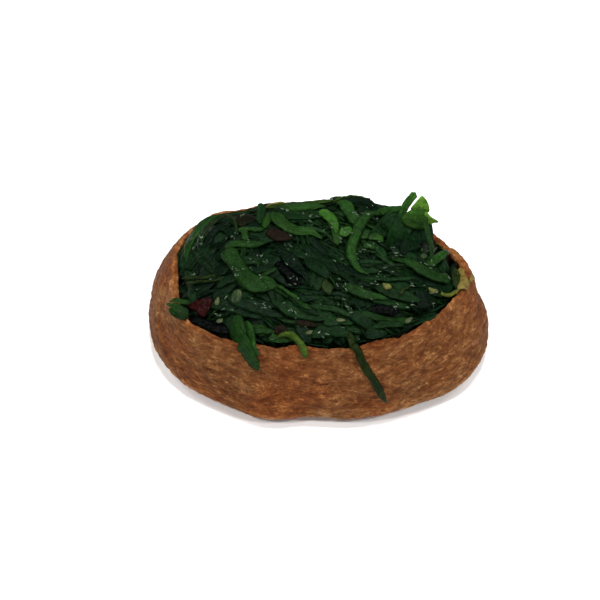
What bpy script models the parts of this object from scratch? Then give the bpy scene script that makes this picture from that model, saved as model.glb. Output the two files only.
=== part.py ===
"""Inari sushi: an oval pouch of fried tofu, open at the top and heaped with seaweed salad.

Two pieces are made, each one closed solid:
  tofu_pouch     the fried pouch: flat base, bulging wall, rim that leans in over the filling
  seaweed_salad  the whole heap in it, with the tuft that stands up at the right rear and the
                 strands that hang over the front of the rim

Lengths in the tables below are millimetres and angles are degrees, counted anticlockwise
from +X seen from above. X is the pouch's length, +Y is its rear and Z is up. The origin is
the middle of the footprint, on the surface the pouch stands on.
"""
import math

import bmesh
import bpy
from mathutils import Vector

MM = 0.001
COLLECTION = "inari_sushi"
CUTTERS = "joining_pieces"

# The mouth's radius every 22.5 degrees: an oblong with blunt corners at its left and right ends.
MOUTH_RADII = (35.0, 32.0, 29.5, 26.0, 24.5, 26.0, 30.0, 32.0,
               30.5, 30.5, 26.5, 22.5, 21.5, 23.0, 26.5, 30.5)

# How far the belly stands out from the mouth, at the same angles: most at the two ends.
BELLY_OUTSETS = (6.8, 3.6, 4.8, 5.8, 5.6, 5.3, 6.0, 7.4,
                 7.4, 4.6, 4.6, 6.6, 5.2, 6.2, 6.6, 9.0)
BELLY_HEIGHT = 5.2
BASE_INSET = 8.2
SHOULDER_POWER = 1.7

# Slow waves round the pouch are written as (waves in a full turn, size, direction).
# The rim is highest at the front right, and its edge is torn a little uneven.
RIM_HEIGHT = 21.8
RIM_LOBES = ((1, 0.7, -60), (7, 0.25, 20), (11, 0.25, 75), (17, 0.2, 130))
WALL = 2.2
FLOOR = 2.0
WALL_FOLDS = ((9, 0.22, 40), (13, 0.18, 110), (21, 0.12, 10))
FOLD_LEAN = 0.6

# The heap fills the pouch and domes up over it. Its edge lies under the rim at the front and
# stands a little over it at the rear.
GAP = 0.3
HEAP_RISE = 8.2
HEAP_POWER = 3.6
EDGE_SINK = 1.45
EDGE_MEAN = RIM_HEIGHT - EDGE_SINK
SINK_LOBES = ((1, 1.9, -95), (2, 0.35, 0), (3, 0.4, 30))
# Mounds and hollows in it: (x, y, reach, rise).
MOUNDS = ((-19.3, 9.5, 5.0, 1.0), (10.7, 18.0, 4.2, 2.2), (-4.3, 17.5, 5.0, 1.2),
          (20.2, 8.5, 3.0, -1.4), (-21.3, -13.5, 3.5, -1.6), (15.7, -15.0, 2.6, -1.4))
RIDGE_SETS = ((0.42, 25, 0.7), (0.65, -35, 0.5), (0.95, 70, 0.35), (1.3, -10, 0.2))

POUCH_STATIONS = 72
SALAD_STATIONS = 72
LOWER_STEPS = 5
UPPER_STEPS = 7
RIM_STEPS = 5
HEAP_RINGS = 15

# Strands that hang over the rim: (name, start angle, end angle, lowest height, width, thickness).
HANGING_STRANDS = (
    ("left_strand", -130.0, -114.0, 16.5, 3.0, 0.9),
    ("middle_hook", -103.0, -93.0, 19.5, 1.8, 0.9),
    ("right_strand", -74.0, -54.0, 5.5, 2.0, 0.9),
)
STRAND_START = 7.0
STRAND_DROP = 2.0
STRAND_LIFT = 0.7
STRAND_STEPS = 18
STRAND_LAG = 1.6
STRAND_FACE_RISE = 0.8
STRAND_TAPER_FROM = 0.55
STRAND_TIP = 0.25

# Blades of the tuft: (name, points from root to tip, width at the root and at its widest).
TUFT_BLADES = (
    ("tall_finger", ((17.0, 12.0, 22.5), (21.5, 15.5, 29.0), (24.5, 17.5, 32.5)), 2.6),
    ("broad_leaf", ((20.0, 9.0, 20.5), (24.0, 12.5, 27.5), (26.0, 15.5, 31.5)), 5.5),
    ("side_spike", ((21.0, 7.5, 20.0), (26.5, 11.5, 26.0), (31.0, 13.0, 28.0)), 2.8),
)
BLADE_THICKNESS = 1.0
BLADE_STEPS = 8
BLADE_FACE = Vector((0.3, 1.0, 0.25))
BLADE_SWELL = (0.30, 0.97)
BLADE_TIP = 0.18
STRIP_FLAT = 0.6

TOFU_COLOUR = (0.36, 0.16, 0.06, 1.0)
SALAD_COLOUR = (0.02, 0.09, 0.025, 1.0)


def lobes(waves, angle):
    """The sum of a table of slow waves at one angle."""
    return sum(size * math.cos(order * angle - math.radians(direction))
               for order, size, direction in waves)


def closed_curve(values, angle):
    """A value on a smooth closed curve through values at even angles."""
    count = len(values)
    place = (angle / math.tau * count) % count
    first = int(place)
    share = place - first
    before, start, end, after = (values[(first + step) % count] for step in (-1, 0, 1, 2))
    bend = 2.0 * before - 5.0 * start + 4.0 * end - after
    twist = 3.0 * (start - end) + after - before
    return start + 0.5 * share * (end - before + share * (bend + share * twist))


def mouth_radius(angle):
    """The radius of the pouch's mouth, inside the rim."""
    return closed_curve(MOUTH_RADII, angle)


def belly_radius(angle):
    """The radius of the wall where it bulges most."""
    return mouth_radius(angle) + closed_curve(BELLY_OUTSETS, angle)


def rim_height(angle):
    return RIM_HEIGHT + lobes(RIM_LOBES, angle)


def outer_profile(angle):
    """The outside of the wall at one angle, from the base's edge up to the rim: (radius, height)."""
    belly = belly_radius(angle)
    points = []
    for step in range(LOWER_STEPS):
        turn = math.radians(90.0 * (1.0 - step / LOWER_STEPS))
        inset = BASE_INSET * (1.0 - math.cos(turn))
        points.append((belly - inset, BELLY_HEIGHT * (1.0 - math.sin(turn))))
    top = rim_height(angle) - 0.5 * WALL
    rim = mouth_radius(angle) + WALL
    for step in range(UPPER_STEPS + 1):
        share = step / UPPER_STEPS
        fold = lobes(WALL_FOLDS, angle + FOLD_LEAN * share) * math.sin(math.pi * share)
        radius = belly + (rim - belly) * share ** SHOULDER_POWER + fold
        points.append((radius, BELLY_HEIGHT + (top - BELLY_HEIGHT) * share))
    return points


def inward(points, index):
    """The unit vector that points from a profile into the wall."""
    before = Vector(points[max(index - 1, 0)])
    after = Vector(points[min(index + 1, len(points) - 1)])
    along = (after - before).normalized()
    return Vector((-along.y, along.x))


def offset_profile(points, distance):
    """A profile moved into the wall by a distance, and kept above the pouch's floor."""
    moved = []
    for index, point in enumerate(points):
        inner = Vector(point) + inward(points, index) * distance
        moved.append((inner.x, max(inner.y, distance * FLOOR / WALL)))
    return moved


def pouch_section(angle):
    """The pouch's section at one angle: up the outside, over the rim and down the inside."""
    outside = outer_profile(angle)
    inside = offset_profile(outside, WALL)
    start, end = Vector(outside[-1]), Vector(inside[-1])
    middle = (start + end) / 2.0
    spoke = start - middle
    rim = []
    for step in range(1, RIM_STEPS):
        turn = math.pi * step / RIM_STEPS
        rise = Vector((-spoke.y, spoke.x)) * math.sin(turn)
        rim.append(tuple(middle + spoke * math.cos(turn) + rise))
    return outside + rim + inside[::-1]


def heap_height(x, y, share, angle):
    """The heap's surface: a dome with mounds, and crossing ridges where strands lie."""
    dome = HEAP_RISE * (1.0 - share ** HEAP_POWER)
    ridges = 0.0
    for mound_x, mound_y, reach, rise in MOUNDS:
        away = math.hypot(x - mound_x, y - mound_y) / reach
        ridges += rise * math.exp(-0.5 * away ** 2)
    for pitch, direction, size in RIDGE_SETS:
        turn = math.radians(direction)
        run = x * math.cos(turn) + y * math.sin(turn)
        bend = 0.9 * math.sin(0.11 * run + direction)
        ridges += size * math.sin(pitch * (y * math.cos(turn) - x * math.sin(turn)) + bend)
    base = EDGE_MEAN + (heap_edge(angle) - EDGE_MEAN) * share
    return base + dome + ridges * (1.0 - share ** 6)


def heap_edge(angle):
    """How high the heap meets the wall."""
    return rim_height(angle) - EDGE_SINK - lobes(SINK_LOBES, angle)


def salad_section(angle):
    """The heap's section at one angle: up along the wall and in over the top."""
    inside = offset_profile(outer_profile(angle), WALL + GAP)
    edge = heap_edge(angle)
    side = [(radius, min(height, edge)) for radius, height in inside[1:]]
    rim = side[-1][0]
    section = list(side)
    for ring in range(1, HEAP_RINGS + 1):
        share = 1.0 - ring / (HEAP_RINGS + 1.0)
        radius = rim * share
        x, y = radius * math.cos(angle), radius * math.sin(angle)
        section.append((radius, heap_height(x, y, share, angle)))
    return section


def new_object(name, mesh, material, collection):
    piece = bpy.data.objects.new(name, mesh)
    piece.data.materials.append(material)
    collection.objects.link(piece)
    return piece


def loft_round(name, section, stations, top_height):
    """A closed mesh through the sections at even angles, with a flat bottom."""
    body = bmesh.new()
    rings = []
    for station in range(stations):
        angle = math.tau * station / stations
        ring = [body.verts.new((radius * math.cos(angle) * MM, radius * math.sin(angle) * MM, height * MM))
                for radius, height in section(angle)]
        rings.append(ring)
    bottom = body.verts.new((0.0, 0.0, section(0.0)[0][1] * MM))
    top = body.verts.new((0.0, 0.0, top_height * MM))
    for station, ring in enumerate(rings):
        after = rings[(station + 1) % stations]
        body.faces.new((bottom, after[0], ring[0]))
        body.faces.new((top, ring[-1], after[-1]))
        for low, high in zip(range(len(ring) - 1), range(1, len(ring))):
            body.faces.new((ring[low], after[low], after[high], ring[high]))
    bmesh.ops.recalc_face_normals(body, faces=body.faces)
    mesh = bpy.data.meshes.new(name)
    body.to_mesh(mesh)
    body.free()
    mesh.shade_smooth()
    return mesh


def loft_strip(name, centres, across, widths, thickness):
    """A closed flat strip along its centres; across holds the width's direction at each."""
    body = bmesh.new()
    sections = []
    for index, centre in enumerate(centres):
        ahead = centres[min(index + 1, len(centres) - 1)] - centres[max(index - 1, 0)]
        side = across[index].normalized()
        lift = side.cross(ahead).normalized() * thickness / 2.0
        half = side * widths[index] / 2.0
        flat = half * STRIP_FLAT
        corners = (centre + half, centre + flat + lift, centre - flat + lift,
                   centre - half, centre - flat - lift, centre + flat - lift)
        sections.append([body.verts.new(corner * MM) for corner in corners])
    for first, second in zip(sections, sections[1:]):
        for index in range(6):
            following = (index + 1) % 6
            body.faces.new((first[index], first[following], second[following], second[index]))
    body.faces.new(sections[0])
    body.faces.new(sections[-1][::-1])
    bmesh.ops.recalc_face_normals(body, faces=body.faces)
    mesh = bpy.data.meshes.new(name)
    body.to_mesh(mesh)
    body.free()
    return mesh


def around(radius, angle, height):
    return Vector((radius * math.cos(angle), radius * math.sin(angle), height))


def rim_route(angle, thickness):
    """Points over the rim at one angle, clear of it: from the heap, over the edge and down the wall."""
    section = pouch_section(angle)
    clearance = STRAND_LIFT + thickness / 2.0
    outside = outer_profile(angle)
    count = len(outside)
    crest = section[count - 1:count + RIM_STEPS]
    over = []
    for index in range(len(crest) - 1, -1, -1):
        push = -inward(section, count - 1 + index)
        over.append(Vector(crest[index]) + push * clearance)
    down = [Vector(point) - inward(outside, index) * clearance
            for index, point in reversed(list(enumerate(outside[:-1])))]
    inner = over[2] + Vector((-STRAND_START, -STRAND_DROP))
    return [inner] + over[2:] + down


def route_point(route, share_by_length):
    """The point part of the way along a route of straight pieces."""
    lengths = [(after - before).length for before, after in zip(route, route[1:])]
    remaining = share_by_length * sum(lengths)
    for before, after, length in zip(route, route[1:], lengths):
        if remaining <= length:
            return before.lerp(after, remaining / length)
        remaining -= length
    return route[-1]


def hanging_strand(name, start, end, lowest, width, thickness):
    """One strand that comes out of the heap, bends over the rim and hangs down the wall."""
    centres = []
    for step in range(STRAND_STEPS + 1):
        share = step / STRAND_STEPS
        angle = math.radians(start + (end - start) * share ** STRAND_LAG)
        route = rim_route(angle, thickness)
        hang = [route[0]] + [point for point in route[1:] if point.y >= lowest]
        point = route_point(hang, share)
        centres.append(around(point.x, angle, point.y))
    across = []
    for index, centre in enumerate(centres):
        ahead = centres[min(index + 1, STRAND_STEPS)] - centres[max(index - 1, 0)]
        out = Vector((centre.x, centre.y, 0.0)).normalized()
        up_and_out = out + Vector((0.0, 0.0, STRAND_FACE_RISE))
        across.append(ahead.cross(up_and_out))
    widths = []
    for step in range(STRAND_STEPS + 1):
        past = max(0.0, step / STRAND_STEPS - STRAND_TAPER_FROM) / (1.0 - STRAND_TAPER_FROM)
        widths.append(width * (1.0 - (1.0 - STRAND_TIP) * past))
    return loft_strip(name, centres, across, widths, thickness)


def bent_point(points, share):
    """A point on the smooth bend through three points."""
    first, middle, last = (Vector(point) for point in points)
    control = middle * 2.0 - (first + last) / 2.0
    return first * (1 - share) ** 2 + control * 2 * share * (1 - share) + last * share ** 2


def tuft_blade(name, points, width):
    """One leaf of the tuft, widest in its middle and pointed at its tip."""
    centres = [bent_point(points, step / BLADE_STEPS) for step in range(BLADE_STEPS + 1)]
    across = []
    for index in range(len(centres)):
        ahead = centres[min(index + 1, BLADE_STEPS)] - centres[max(index - 1, 0)]
        across.append(ahead.cross(BLADE_FACE))
    root, tip = BLADE_SWELL
    widths = [width * max(BLADE_TIP, math.sin(math.pi * (root + (tip - root) * step / BLADE_STEPS)))
              for step in range(BLADE_STEPS + 1)]
    return loft_strip(name, centres, across, widths, BLADE_THICKNESS)


def join_to(piece, mesh, material, collection):
    """Adds a strand or a leaf to the heap as one body with it."""
    cutter = new_object(mesh.name, mesh, material, collection)
    cutter.hide_render = True
    cutter.display_type = "WIRE"
    union = piece.modifiers.new(mesh.name, "BOOLEAN")
    union.operation = "UNION"
    union.solver = "EXACT"
    union.object = cutter


def food_material(name, colour, roughness):
    material = bpy.data.materials.new(name)
    material.use_nodes = True
    shader = material.node_tree.nodes["Principled BSDF"]
    shader.inputs["Base Color"].default_value = colour
    shader.inputs["Roughness"].default_value = roughness
    shader.inputs["Metallic"].default_value = 0.0
    material.diffuse_color = colour
    return material


def build_pouch(collection):
    mesh = loft_round("tofu_pouch", pouch_section, POUCH_STATIONS, FLOOR)
    return new_object("tofu_pouch", mesh, food_material("fried_tofu", TOFU_COLOUR, 0.75), collection)


def build_salad(collection, cutters):
    material = food_material("seaweed", SALAD_COLOUR, 0.25)
    crown = heap_height(0.0, 0.0, 0.0, 0.0)
    mesh = loft_round("seaweed_salad", salad_section, SALAD_STATIONS, crown)
    salad = new_object("seaweed_salad", mesh, material, collection)
    for strand in HANGING_STRANDS:
        join_to(salad, hanging_strand(*strand), material, cutters)
    for blade in TUFT_BLADES:
        join_to(salad, tuft_blade(*blade), material, cutters)
    return salad


def centre_footprint(objects):
    """Moves everything so that the pouch's footprint is centred on the origin."""
    corners = [vertex.co for vertex in objects[0].data.vertices]
    middle_x = (min(c.x for c in corners) + max(c.x for c in corners)) / 2.0
    middle_y = (min(c.y for c in corners) + max(c.y for c in corners)) / 2.0
    for piece in objects:
        piece.location = (-middle_x, -middle_y, 0.0)


def main():
    for old in list(bpy.data.objects):
        bpy.data.objects.remove(old, do_unlink=True)
    collection = bpy.data.collections.new(COLLECTION)
    cutters = bpy.data.collections.new(CUTTERS)
    bpy.context.scene.collection.children.link(collection)
    bpy.context.scene.collection.children.link(cutters)
    pouch = build_pouch(collection)
    salad = build_salad(collection, cutters)
    centre_footprint([pouch, salad] + list(cutters.objects))


main()
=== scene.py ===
"""Looks for the inari sushi: a fried tofu pouch heaped with dressed seaweed salad.

The pouch is lofted from the same outline as its CAD solid, with the wrinkles of fried tofu.
The salad is a dark core under a pile of strands. Each strand is laid on a height map of the
pile, sinks on to what is already there, and raises the map for the next one.

Lengths are millimetres until a mesh is made, and angles are degrees, anticlockwise from +X
seen from above. X is the pouch's length, +Y is its rear and Z is up.
"""
import itertools
import math

import bpy
import numpy as np
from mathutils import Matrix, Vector


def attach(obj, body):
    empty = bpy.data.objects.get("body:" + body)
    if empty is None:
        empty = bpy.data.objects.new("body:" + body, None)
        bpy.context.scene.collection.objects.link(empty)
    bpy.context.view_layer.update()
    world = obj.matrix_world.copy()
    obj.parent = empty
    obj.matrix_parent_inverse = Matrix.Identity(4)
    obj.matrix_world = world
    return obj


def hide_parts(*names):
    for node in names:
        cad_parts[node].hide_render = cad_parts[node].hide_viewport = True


MM = 0.001

# ---------------------------------------------------------------- the pouch's outline

# The mouth's radius every 22.5 degrees: an oblong with blunt corners at its left and right ends.
MOUTH_RADII = np.array((35.0, 32.0, 29.5, 26.0, 24.5, 26.0, 30.0, 32.0,
                        30.5, 30.5, 26.5, 22.5, 21.5, 23.0, 26.5, 30.5))

# How far the belly stands out from the mouth, at the same angles: most at the two ends.
BELLY_OUTSETS = np.array((6.8, 3.6, 4.8, 5.8, 5.6, 5.3, 6.0, 7.4,
                          7.4, 4.6, 4.6, 6.6, 5.2, 6.2, 6.6, 9.0))
BELLY_HEIGHT = 5.2
BASE_INSET = 8.2
SHOULDER_POWER = 1.7

# Slow waves round the pouch are written as (waves in a full turn, size, direction).
RIM_HEIGHT = 21.8
RIM_LOBES = ((1, 0.7, -60), (7, 0.25, 20), (11, 0.25, 75), (17, 0.2, 130))
WALL = 2.2
RIM_EDGE = 1.1
RIM_BACK_EXTRA = 0.9
FRONT = 270.0
FRONT_REACH = 58.0
RIM_REACH = 1.6
FLOOR = 2.0
WALL_FOLDS = ((9, 0.22, 40), (13, 0.18, 110), (21, 0.12, 10))
FOLD_LEAN = 0.6

# The heap's surface.
GAP = 0.3
HEAP_RISE = 8.2
HEAP_POWER = 3.6
EDGE_SINK = 1.45
SINK_LOBES = ((1, 1.9, -95), (2, 0.35, 0), (3, 0.4, 30))

# Mounds and hollows in the heap: (x, y, reach, rise).
MOUNDS = ((-21.0, 8.0, 5.0, 1.0), (-6.0, -8.0, 2.2, -2.0), (9.0, 16.5, 4.2, 2.2), (-6.5, 17.0, 4.5, -0.9),
          (18.5, 7.0, 3.0, -1.4), (-23.0, -15.0, 3.5, -1.6), (14.0, -16.5, 2.6, -1.4),
          (-16.0, -6.0, 3.5, 0.8), (1.0, -9.0, 3.5, 0.8), (21.0, -12.0, 3.5, 0.8))


def lobes(waves, angle):
    """The sum of a table of slow waves at one or more angles."""
    return sum(size * np.cos(order * angle - math.radians(direction))
               for order, size, direction in waves)


def closed_curve(values, angle):
    """Values on a smooth closed curve through values at even angles."""
    count = len(values)
    place = np.asarray(angle) / math.tau * count
    first = np.floor(place).astype(int)
    share = (place - first).reshape(place.shape + (1,) * (values.ndim - 1))
    before, start, end, after = (values[(first + step) % count] for step in (-1, 0, 1, 2))
    bend = 2.0 * before - 5.0 * start + 4.0 * end - after
    twist = 3.0 * (start - end) + after - before
    return start + 0.5 * share * (end - before + share * (bend + share * twist))


def mouth_radius(angle):
    return closed_curve(MOUTH_RADII, angle)


def belly_radius(angle):
    return mouth_radius(angle) + closed_curve(BELLY_OUTSETS, angle)


def rim_height(angle):
    return RIM_HEIGHT + lobes(RIM_LOBES, angle)


def frontness(angle):
    """1 along the front of the pouch and 0 elsewhere."""
    turn = (np.degrees(angle) - FRONT) / FRONT_REACH
    return np.exp(-turn ** 4)


def rim_edge(angle):
    """The wall's thickness at its torn top edge, thinnest along the front."""
    return RIM_EDGE + RIM_BACK_EXTRA * (1.0 - frontness(angle))


def heap_edge(angle):
    """How high the heap meets the wall."""
    return rim_height(angle) - EDGE_SINK - lobes(SINK_LOBES, angle)


def outer_profile(angle, lower_steps, upper_steps):
    """The outside of the wall at each angle, from the base's edge to the rim: radii, heights."""
    angle = np.asarray(angle)[:, None]
    belly = belly_radius(angle)
    turn = np.radians(90.0 * (1.0 - np.arange(lower_steps) / lower_steps))
    lower_radius = belly - BASE_INSET * (1.0 - np.cos(turn))
    lower_height = BELLY_HEIGHT * (1.0 - np.sin(turn)) + 0.0 * belly
    share = np.arange(upper_steps + 1) / upper_steps
    top = rim_height(angle) - 0.5 * RIM_EDGE
    fold = lobes(WALL_FOLDS, angle + FOLD_LEAN * share) * np.sin(math.pi * share)
    upper_radius = belly + (mouth_radius(angle) + RIM_REACH - belly) * share ** SHOULDER_POWER + fold
    upper_height = BELLY_HEIGHT + (top - BELLY_HEIGHT) * share
    return np.hstack((lower_radius, upper_radius)), np.hstack((lower_height, upper_height))


def inward(radius, height):
    """Unit vectors that point from the profiles into the wall: their radius and height parts."""
    along_radius = np.gradient(radius, axis=1)
    along_height = np.gradient(height, axis=1)
    length = np.hypot(along_radius, along_height)
    return -along_height / length, along_radius / length


def pouch_profile(angle, lower_steps, upper_steps, rim_steps):
    """Up the outside, over the rim and down the inside at each angle: radii and heights."""
    radius, height = outer_profile(angle, lower_steps, upper_steps)
    in_radius, in_height = inward(radius, height)
    row = np.linspace(0.0, 1.0, radius.shape[1])
    edge = rim_edge(np.asarray(angle)[:, None] % math.tau)
    wall = WALL + (edge - WALL) * np.clip((row - 0.6) / 0.4, 0.0, 1.0) ** 2
    inner_radius = radius + in_radius * wall
    inner_height = np.maximum(height + in_height * wall, FLOOR)
    middle_radius = (radius[:, -1:] + inner_radius[:, -1:]) / 2.0
    middle_height = (height[:, -1:] + inner_height[:, -1:]) / 2.0
    spoke_radius = radius[:, -1:] - middle_radius
    spoke_height = height[:, -1:] - middle_height
    turn = math.pi * np.arange(1, rim_steps) / rim_steps
    rim_radius = middle_radius + spoke_radius * np.cos(turn) - spoke_height * np.sin(turn)
    rim_rise = middle_height + spoke_height * np.cos(turn) + spoke_radius * np.sin(turn)
    radii = np.hstack((radius, rim_radius, inner_radius[:, ::-3]))
    heights = np.hstack((height, rim_rise, inner_height[:, ::-3]))
    return radii, heights


def outline_middle():
    """The middle of the pouch's box before it is centred on the origin."""
    angle = np.radians(np.arange(0, 360, 5))
    radius, _ = outer_profile(angle, 5, 7)
    across = radius * np.cos(angle)[:, None]
    deep = radius * np.sin(angle)[:, None]
    return np.array(((across.min() + across.max()) / 2.0, (deep.min() + deep.max()) / 2.0))


MIDDLE = outline_middle()


def polar(x, y):
    """The angle and radius of points about the outline's own centre."""
    away_x, away_y = x + MIDDLE[0], y + MIDDLE[1]
    return np.arctan2(away_y, away_x) % math.tau, np.hypot(away_x, away_y)


def heap_share(x, y):
    """How far out points lie in the mouth: 0 at its centre and 1 at the wall."""
    angle, radius = polar(x, y)
    return radius / (mouth_radius(angle) + RIM_REACH - RIM_EDGE - GAP)


def heap_surface(x, y):
    """The heap's surface without its strands."""
    angle, _ = polar(x, y)
    share = np.minimum(heap_share(x, y), 1.0)
    mean = RIM_HEIGHT - EDGE_SINK
    base = mean + (heap_edge(angle) - mean) * share
    mounds = sum(rise * np.exp(-((x - at_x) ** 2 + (y - at_y) ** 2) / (2.0 * reach ** 2))
                 for at_x, at_y, reach, rise in MOUNDS)
    return base + HEAP_RISE * (1.0 - share ** HEAP_POWER) + mounds * (1.0 - share ** 8)


# ---------------------------------------------------------------- noise and curves

class Noise:
    """Smooth seeded noise, about -1 to 1, with one hill or hollow in each unit of length."""

    TABLE = 256

    def __init__(self, seed):
        source = np.random.default_rng(seed)
        self.order = source.permutation(self.TABLE)
        slopes = source.normal(size=(self.TABLE, 3))
        self.slopes = slopes / np.linalg.norm(slopes, axis=1)[:, None]

    def at(self, points):
        cell = np.floor(points).astype(int)
        local = points - cell
        ease = local ** 3 * (local * (local * 6.0 - 15.0) + 10.0)
        total = np.zeros(points.shape[:-1])
        for corner in itertools.product((0, 1), repeat=3):
            corner = np.array(corner)
            place = (cell + corner) % self.TABLE
            key = self.order[place[..., 0]]
            key = self.order[(key + place[..., 1]) % self.TABLE]
            key = self.order[(key + place[..., 2]) % self.TABLE]
            weight = np.prod(np.where(corner == 1, ease, 1.0 - ease), axis=-1)
            total += weight * np.sum(self.slopes[key] * (local - corner), axis=-1)
        return total * 1.6

    def ridged(self, points):
        """Noise with sharp crests, 0 to 1."""
        return 1.0 - np.minimum(np.abs(self.at(points)) * 1.6, 1.0)


def smooth_path(points, spacing):
    """Points at an even spacing on a smooth curve through the given ones."""
    points = np.asarray(points, float)
    ends = np.vstack((2 * points[0] - points[1], points, 2 * points[-1] - points[-2]))
    share = np.linspace(0.0, 1.0, 16, endpoint=False)[:, None]
    fine = []
    for before, start, end, after in zip(ends, ends[1:], ends[2:], ends[3:]):
        bend = 2 * before - 5 * start + 4 * end - after
        twist = 3 * (start - end) + after - before
        fine.append(start + 0.5 * share * (end - before + share * (bend + share * twist)))
    fine = np.vstack(fine + [points[-1:]])
    return even_path(fine, spacing)


def even_path(fine, spacing):
    """A path of many points, resampled at an even spacing."""
    steps = np.linalg.norm(np.diff(fine, axis=0), axis=1)
    length = np.concatenate(([0.0], np.cumsum(steps)))
    count = max(5, int(round(length[-1] / spacing)) + 1)
    even = np.linspace(0.0, length[-1], count)
    return np.column_stack([np.interp(even, length, column) for column in fine.T])


def unit(vectors):
    return vectors / np.maximum(np.linalg.norm(vectors, axis=-1, keepdims=True), 1e-9)


# ---------------------------------------------------------------- strands

class Pile:
    """The heap's top surface as a height map, which rises as each strand is laid on it."""

    STEP = 0.25
    HALF_X = 44.0
    HALF_Y = 34.0

    def __init__(self, start_height):
        x = np.arange(-self.HALF_X, self.HALF_X + self.STEP, self.STEP)
        y = np.arange(-self.HALF_Y, self.HALF_Y + self.STEP, self.STEP)
        self.x, self.y = np.meshgrid(x, y)
        self.map = start_height(self.x, self.y)

    def height(self, x, y):
        column = np.clip((x + self.HALF_X) / self.STEP, 0, self.map.shape[1] - 1.001)
        row = np.clip((y + self.HALF_Y) / self.STEP, 0, self.map.shape[0] - 1.001)
        left, front = column.astype(int), row.astype(int)
        across, back = column - left, row - front
        near = self.map[front, left] * (1 - across) + self.map[front, left + 1] * across
        far = self.map[front + 1, left] * (1 - across) + self.map[front + 1, left + 1] * across
        return near * (1 - back) + far * back

    def lay(self, top):
        """Raises the map to a sheet's top surface (rows x columns x 3)."""
        row_gap = np.linalg.norm(np.diff(top, axis=0), axis=2).max()
        column_gap = np.linalg.norm(np.diff(top, axis=1), axis=2).max()
        rows = int(len(top) * row_gap / self.STEP) + 2
        columns = int(top.shape[1] * column_gap / self.STEP) + 2
        fine = resampled(top, rows, columns).reshape(-1, 3)
        column = np.round((fine[:, 0] + self.HALF_X) / self.STEP).astype(int)
        row = np.round((fine[:, 1] + self.HALF_Y) / self.STEP).astype(int)
        column = np.clip(column, 0, self.map.shape[1] - 1)
        row = np.clip(row, 0, self.map.shape[0] - 1)
        np.maximum.at(self.map, (row, column), fine[:, 2])


def resampled(grid, rows, columns):
    """A grid of points read at another number of rows and columns."""
    row = np.linspace(0, grid.shape[0] - 1.001, rows)
    column = np.linspace(0, grid.shape[1] - 1.001, columns)
    low, left = row.astype(int), column.astype(int)
    up = (row - low)[:, None, None]
    across = (column - left)[None, :, None]
    lower = grid[low][:, left] * (1 - across) + grid[low][:, left + 1] * across
    upper = grid[low + 1][:, left] * (1 - across) + grid[low + 1][:, left + 1] * across
    return lower * (1 - up) + upper * up


def settled(under, reach):
    """Heights of a strand that bridges hollows shorter than its reach, in samples."""
    highest = under.copy()
    for shift in range(1, reach + 1):
        highest[shift:] = np.maximum(highest[shift:], under[:-shift])
        highest[:-shift] = np.maximum(highest[:-shift], under[shift:])
    place = np.arange(len(under))
    weights = np.exp(-0.5 * ((place[:, None] - place[None, :]) / max(reach, 0.8)) ** 2)
    weights /= weights.sum(axis=1, keepdims=True)
    return weights @ (0.6 * highest + 0.4 * under)


def taper(count, start, end, blunt):
    """Width shares along a strand: it narrows over the start and end shares of its length."""
    share = np.linspace(0.0, 1.0, count)
    opening = np.clip(share / max(start, 1e-3), 0.0, 1.0)
    closing = np.clip((1.0 - share) / max(end, 1e-3), 0.0, 1.0)
    return np.maximum((opening * closing) ** blunt, 0.06)


# How the strands are crumpled: (pitch, size) of the bends and of the fine wrinkles.
BENDS = (1.5, 0.17)
WRINKLES = (0.65, 0.07)


def crumpled(points):
    """Points moved a little by smooth noise, so that strands that touch move together."""
    pitch, size = BENDS
    moved = np.stack([Noise(60 + axis).at(points / pitch) for axis in range(3)], axis=-1) * size
    pitch, size = WRINKLES
    moved[..., 2] += Noise(63).at(points / pitch) * size
    return points + moved


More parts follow.
